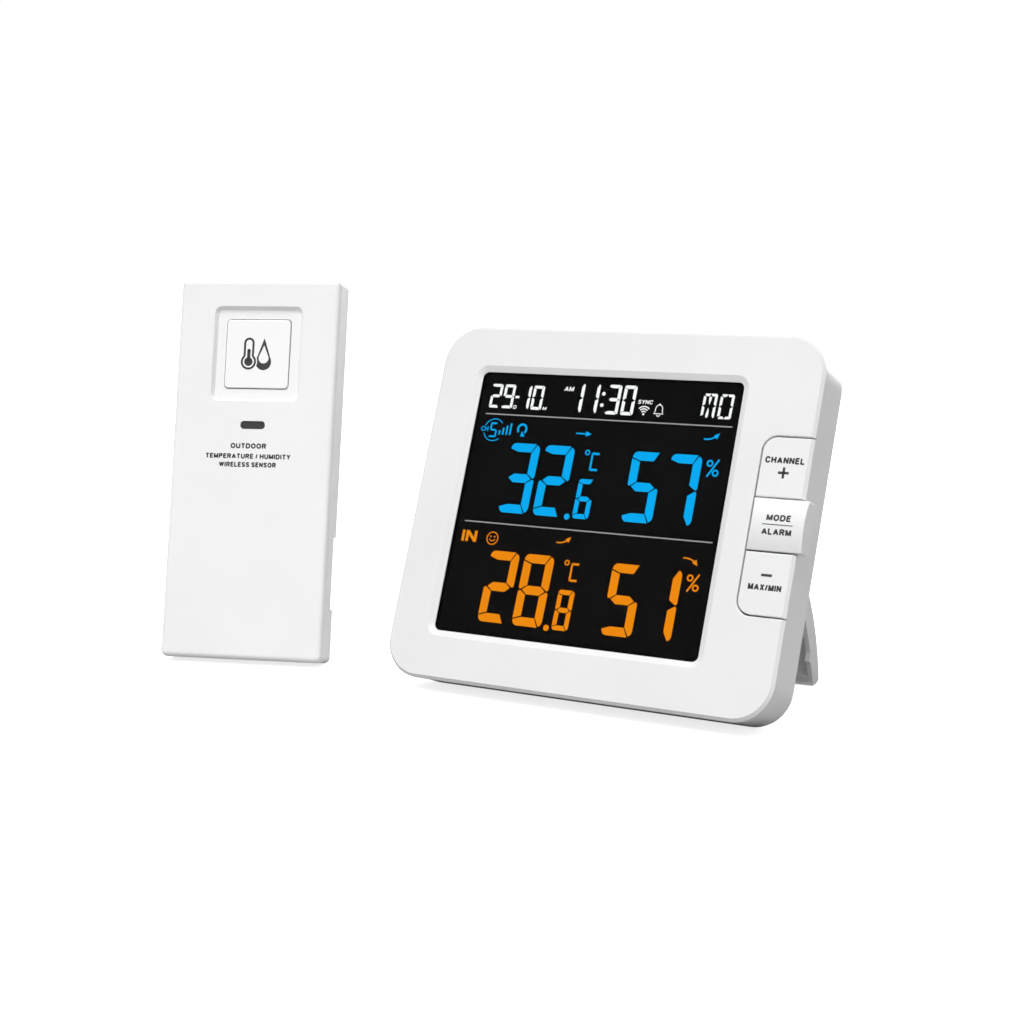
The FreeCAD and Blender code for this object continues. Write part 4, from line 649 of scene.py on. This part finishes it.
# The mode key's rule: where it starts, its height, its line, and the runs it is drawn in.
KEY_RULE_LEFT, KEY_RULE_Z, KEY_RULE_WIDTH = 58.85, -0.4, 0.26
KEY_RULE_RUN, KEY_RULE_RUNS = 1.16, 8


def key_print(name, body, shapes, surface=None):
    moved = [[(x + WINDOW_X, z + WINDOW_Z) for x, z in shape] for shape in shapes]
    prism(name, DISPLAY, body, moved, PRINT, 0.0, PRINT_THICK, surface)


def mode_crown(x, z):
    """Depth of the mode key's rounded front at height z."""
    half_chord, rise, rim, middle = 7.625, 1.45, -0.35, 0.25
    radius = (half_chord**2 + rise**2) / (2 * rise)
    drop = radius - math.sqrt(radius**2 - (z - middle) ** 2)
    return rim - rise + drop


key_print(
    "plus_marks",
    "plus_key",
    lettering("CHANNEL", (55.7, 67.9, 17.9, 19.9), PRINT_WEIGHT)
    + [stroke([(60.25, 15.2), (63.6, 15.2)], SIGN_LINE_WIDTH)]
    + [stroke([(61.95, 13.55), (61.95, 16.85)], SIGN_LINE_WIDTH)],
)
rule_points = [
    (KEY_RULE_LEFT + KEY_RULE_RUN * i, KEY_RULE_Z) for i in range(KEY_RULE_RUNS + 1)
]
key_print(
    "mode_marks",
    "mode_key",
    lettering("MODE", (59.8, 67.3, 0.65, 2.6), PRINT_WEIGHT)
    + lettering("ALARM", (58.9, 68.0, -3.4, -1.5), PRINT_WEIGHT)
    + [stroke(run, KEY_RULE_WIDTH) for run in zip(rule_points, rule_points[1:])],
    mode_crown,
)
key_print(
    "minus_marks",
    "minus_key",
    lettering("MAX/MIN", (56.9, 67.1, -19.3, -17.35), PRINT_WEIGHT)
    + [stroke([(60.35, -14.8), (63.65, -14.8)], SIGN_LINE_WIDTH)],
)


# ---------------------------------------------------------------- marks on the sensor

ICON_X, ICON_Z, ICON_Y = -0.25, 101.7, 0.8
DROP_X = 2.5
BULB_X, BULB_Z, STEM_TOP, MERCURY_TOP = -2.75, -2.55, 3.75, 1.2
# How far each layer of the icon stands proud: the drop, a white ground over it, the thermometer.
DROP_LIFT, GROUND_LIFT, GLASS_LIFT = 0.02, 0.035, 0.05


def icon_print(name, shapes, material, lift):
    moved = [[(x + ICON_X, z + ICON_Z) for x, z in shape] for shape in shapes]
    prism(name, SENSOR, "sensor", moved, material, ICON_Y, lift)


def teardrop(x, z, radius, tip, count=40):
    """A drop's outline: a round belly about (x, z) that runs up to a point at height tip."""
    reach = tip - z
    touch = math.degrees(math.acos(radius / reach))
    belly = arc(x, z, radius, 90 + touch, 450 - touch, count)
    return belly + [(x, tip)]


outer = teardrop(DROP_X, -2.65, 2.7, 5.45)
inner = teardrop(DROP_X, -1.35, 1.74, 3.0)
drop_walls = []
for i in range(len(outer)):
    j = (i + 1) % len(outer)
    drop_walls.append([outer[i], outer[j], inner[j], inner[i]])
icon_print("icon_drop", drop_walls, PRINT, DROP_LIFT)
bulb_ground = disc(BULB_X, BULB_Z, 3.05, 40)
icon_print("icon_bulb_ground", [bulb_ground], PAINT["icon_gloss"], GROUND_LIFT)
half_stem, bulb = 1.46, 2.32
meet = math.degrees(math.asin(half_stem / bulb))
glass_line = arc(BULB_X, BULB_Z, bulb, 90 + meet, 450 - meet, 36)
glass_line += arc(BULB_X, STEM_TOP, half_stem, 0, 180, 16)
icon_print("icon_thermometer", band(glass_line, 0.72), PRINT, GLASS_LIFT)
icon_print(
    "icon_mercury",
    [
        disc(BULB_X, BULB_Z, 1.48, 28),
        stroke([(BULB_X, BULB_Z), (BULB_X, MERCURY_TOP)], 1.14),
        disc(BULB_X, MERCURY_TOP, 0.57, 16),
    ],
    PRINT,
    GLASS_LIFT,
)

prism(
    "sensor_marks",
    SENSOR,
    "sensor",
    lettering("OUTDOOR", (-7.3, 5.2, 69.9, 71.7), PRINT_WEIGHT)
    + lettering("TEMPERATURE / HUMIDITY", (-15.9, 13.8, 66.5, 68.2), PRINT_WEIGHT)
    + lettering("WIRELESS SENSOR", (-11.0, 8.9, 63.7, 65.4), PRINT_WEIGHT),
    PRINT,
    0.0,
    PRINT_THICK,
)


# ---------------------------------------------------------------- floor, light and camera

FLOOR_BOUNCE, FLOOR_SIZE, FLOOR_DROP = 0.4, 12.0, 0.0001
floor_mesh = bpy.data.meshes.new("floor")
ground = bmesh.new()
bmesh.ops.create_grid(ground, x_segments=4, y_segments=4, size=FLOOR_SIZE)
ground.to_mesh(floor_mesh)
ground.free()
floor = bpy.data.objects.new("floor", floor_mesh)
floor.location.z = -FLOOR_DROP
bpy.context.scene.collection.objects.link(floor)
# The paper is bright where it is seen and duller in the light that it throws back, as a large
# sweep with black flags beside the set is.
paper = Nodes("studio_paper")
paper.link(
    paper.ramp(paper.noise(3.0, 2.0), [(0.3, (0.90, 0.90, 0.90)), (0.7, (0.92, 0.92, 0.92))]),
    paper.shader.inputs["Base Color"],
)
paper.set("Emission Color", (1.0, 1.0, 1.0, 1.0))
paper.set("Emission Strength", 0.75)
paper.set("Roughness", 0.9)
paper.set("Specular IOR Level", 0.1)
flagged = paper.add("ShaderNodeBsdfDiffuse")
flagged.inputs["Color"].default_value = (FLOOR_BOUNCE, FLOOR_BOUNCE, FLOOR_BOUNCE, 1.0)
either = paper.add("ShaderNodeMixShader")
paper.link(paper.add("ShaderNodeLightPath").outputs["Is Camera Ray"], either.inputs[0])
paper.link(flagged.outputs[0], either.inputs[1])
paper.link(paper.shader.outputs[0], either.inputs[2])
paper.link(either.outputs[0], paper.tree.nodes["Material Output"].inputs["Surface"])
floor_mesh.materials.append(paper.material)

world = bpy.data.worlds.new("studio")
bpy.context.scene.world = world
world.use_nodes = True
sky = world.node_tree
sky.nodes.clear()
sky_out = sky.nodes.new("ShaderNodeOutputWorld")
ambient = sky.nodes.new("ShaderNodeBackground")
ambient.inputs["Strength"].default_value = 0.2
seen = sky.nodes.new("ShaderNodeBackground")
seen.inputs["Strength"].default_value = 1.0
for backdrop in (ambient, seen):
    backdrop.inputs["Color"].default_value = (1.0, 1.0, 1.0, 1.0)
chooser = sky.nodes.new("ShaderNodeMixShader")
ray = sky.nodes.new("ShaderNodeLightPath")
sky.links.new(ray.outputs["Is Camera Ray"], chooser.inputs[0])
sky.links.new(ambient.outputs[0], chooser.inputs[1])
sky.links.new(seen.outputs[0], chooser.inputs[2])
sky.links.new(chooser.outputs[0], sky_out.inputs["Surface"])


def sun(name, toward, strength, spread):
    lamp = bpy.data.lights.new(name, "SUN")
    lamp.energy = strength
    lamp.angle = math.radians(spread)
    holder = bpy.data.objects.new(name, lamp)
    holder.rotation_euler = Vector(toward).to_track_quat("Z", "Y").to_euler()
    bpy.context.scene.collection.objects.link(holder)


sun("key", (0.0, -0.5, 0.866), 2.9, 40.0)
sun("side_fill", (0.75, -0.6, 0.3), 0.35, 35.0)
sun("back_fill", (0.05, 0.9, 0.42), 2.3, 50.0)

camera_data = bpy.data.cameras.new("camera")
camera_data.sensor_width = 36.0
camera_data.lens = 65.76
camera_data.clip_start = 0.01
camera = bpy.data.objects.new("camera", camera_data)
camera.location = (0.3120, -0.5035, 0.1383)
view_line = Vector((-0.51105, 0.84756, -0.14307))
camera.rotation_euler = view_line.to_track_quat("-Z", "Y").to_euler()
bpy.context.scene.collection.objects.link(camera)
bpy.context.scene.camera = camera
bpy.context.scene.view_settings.view_transform = "Standard"
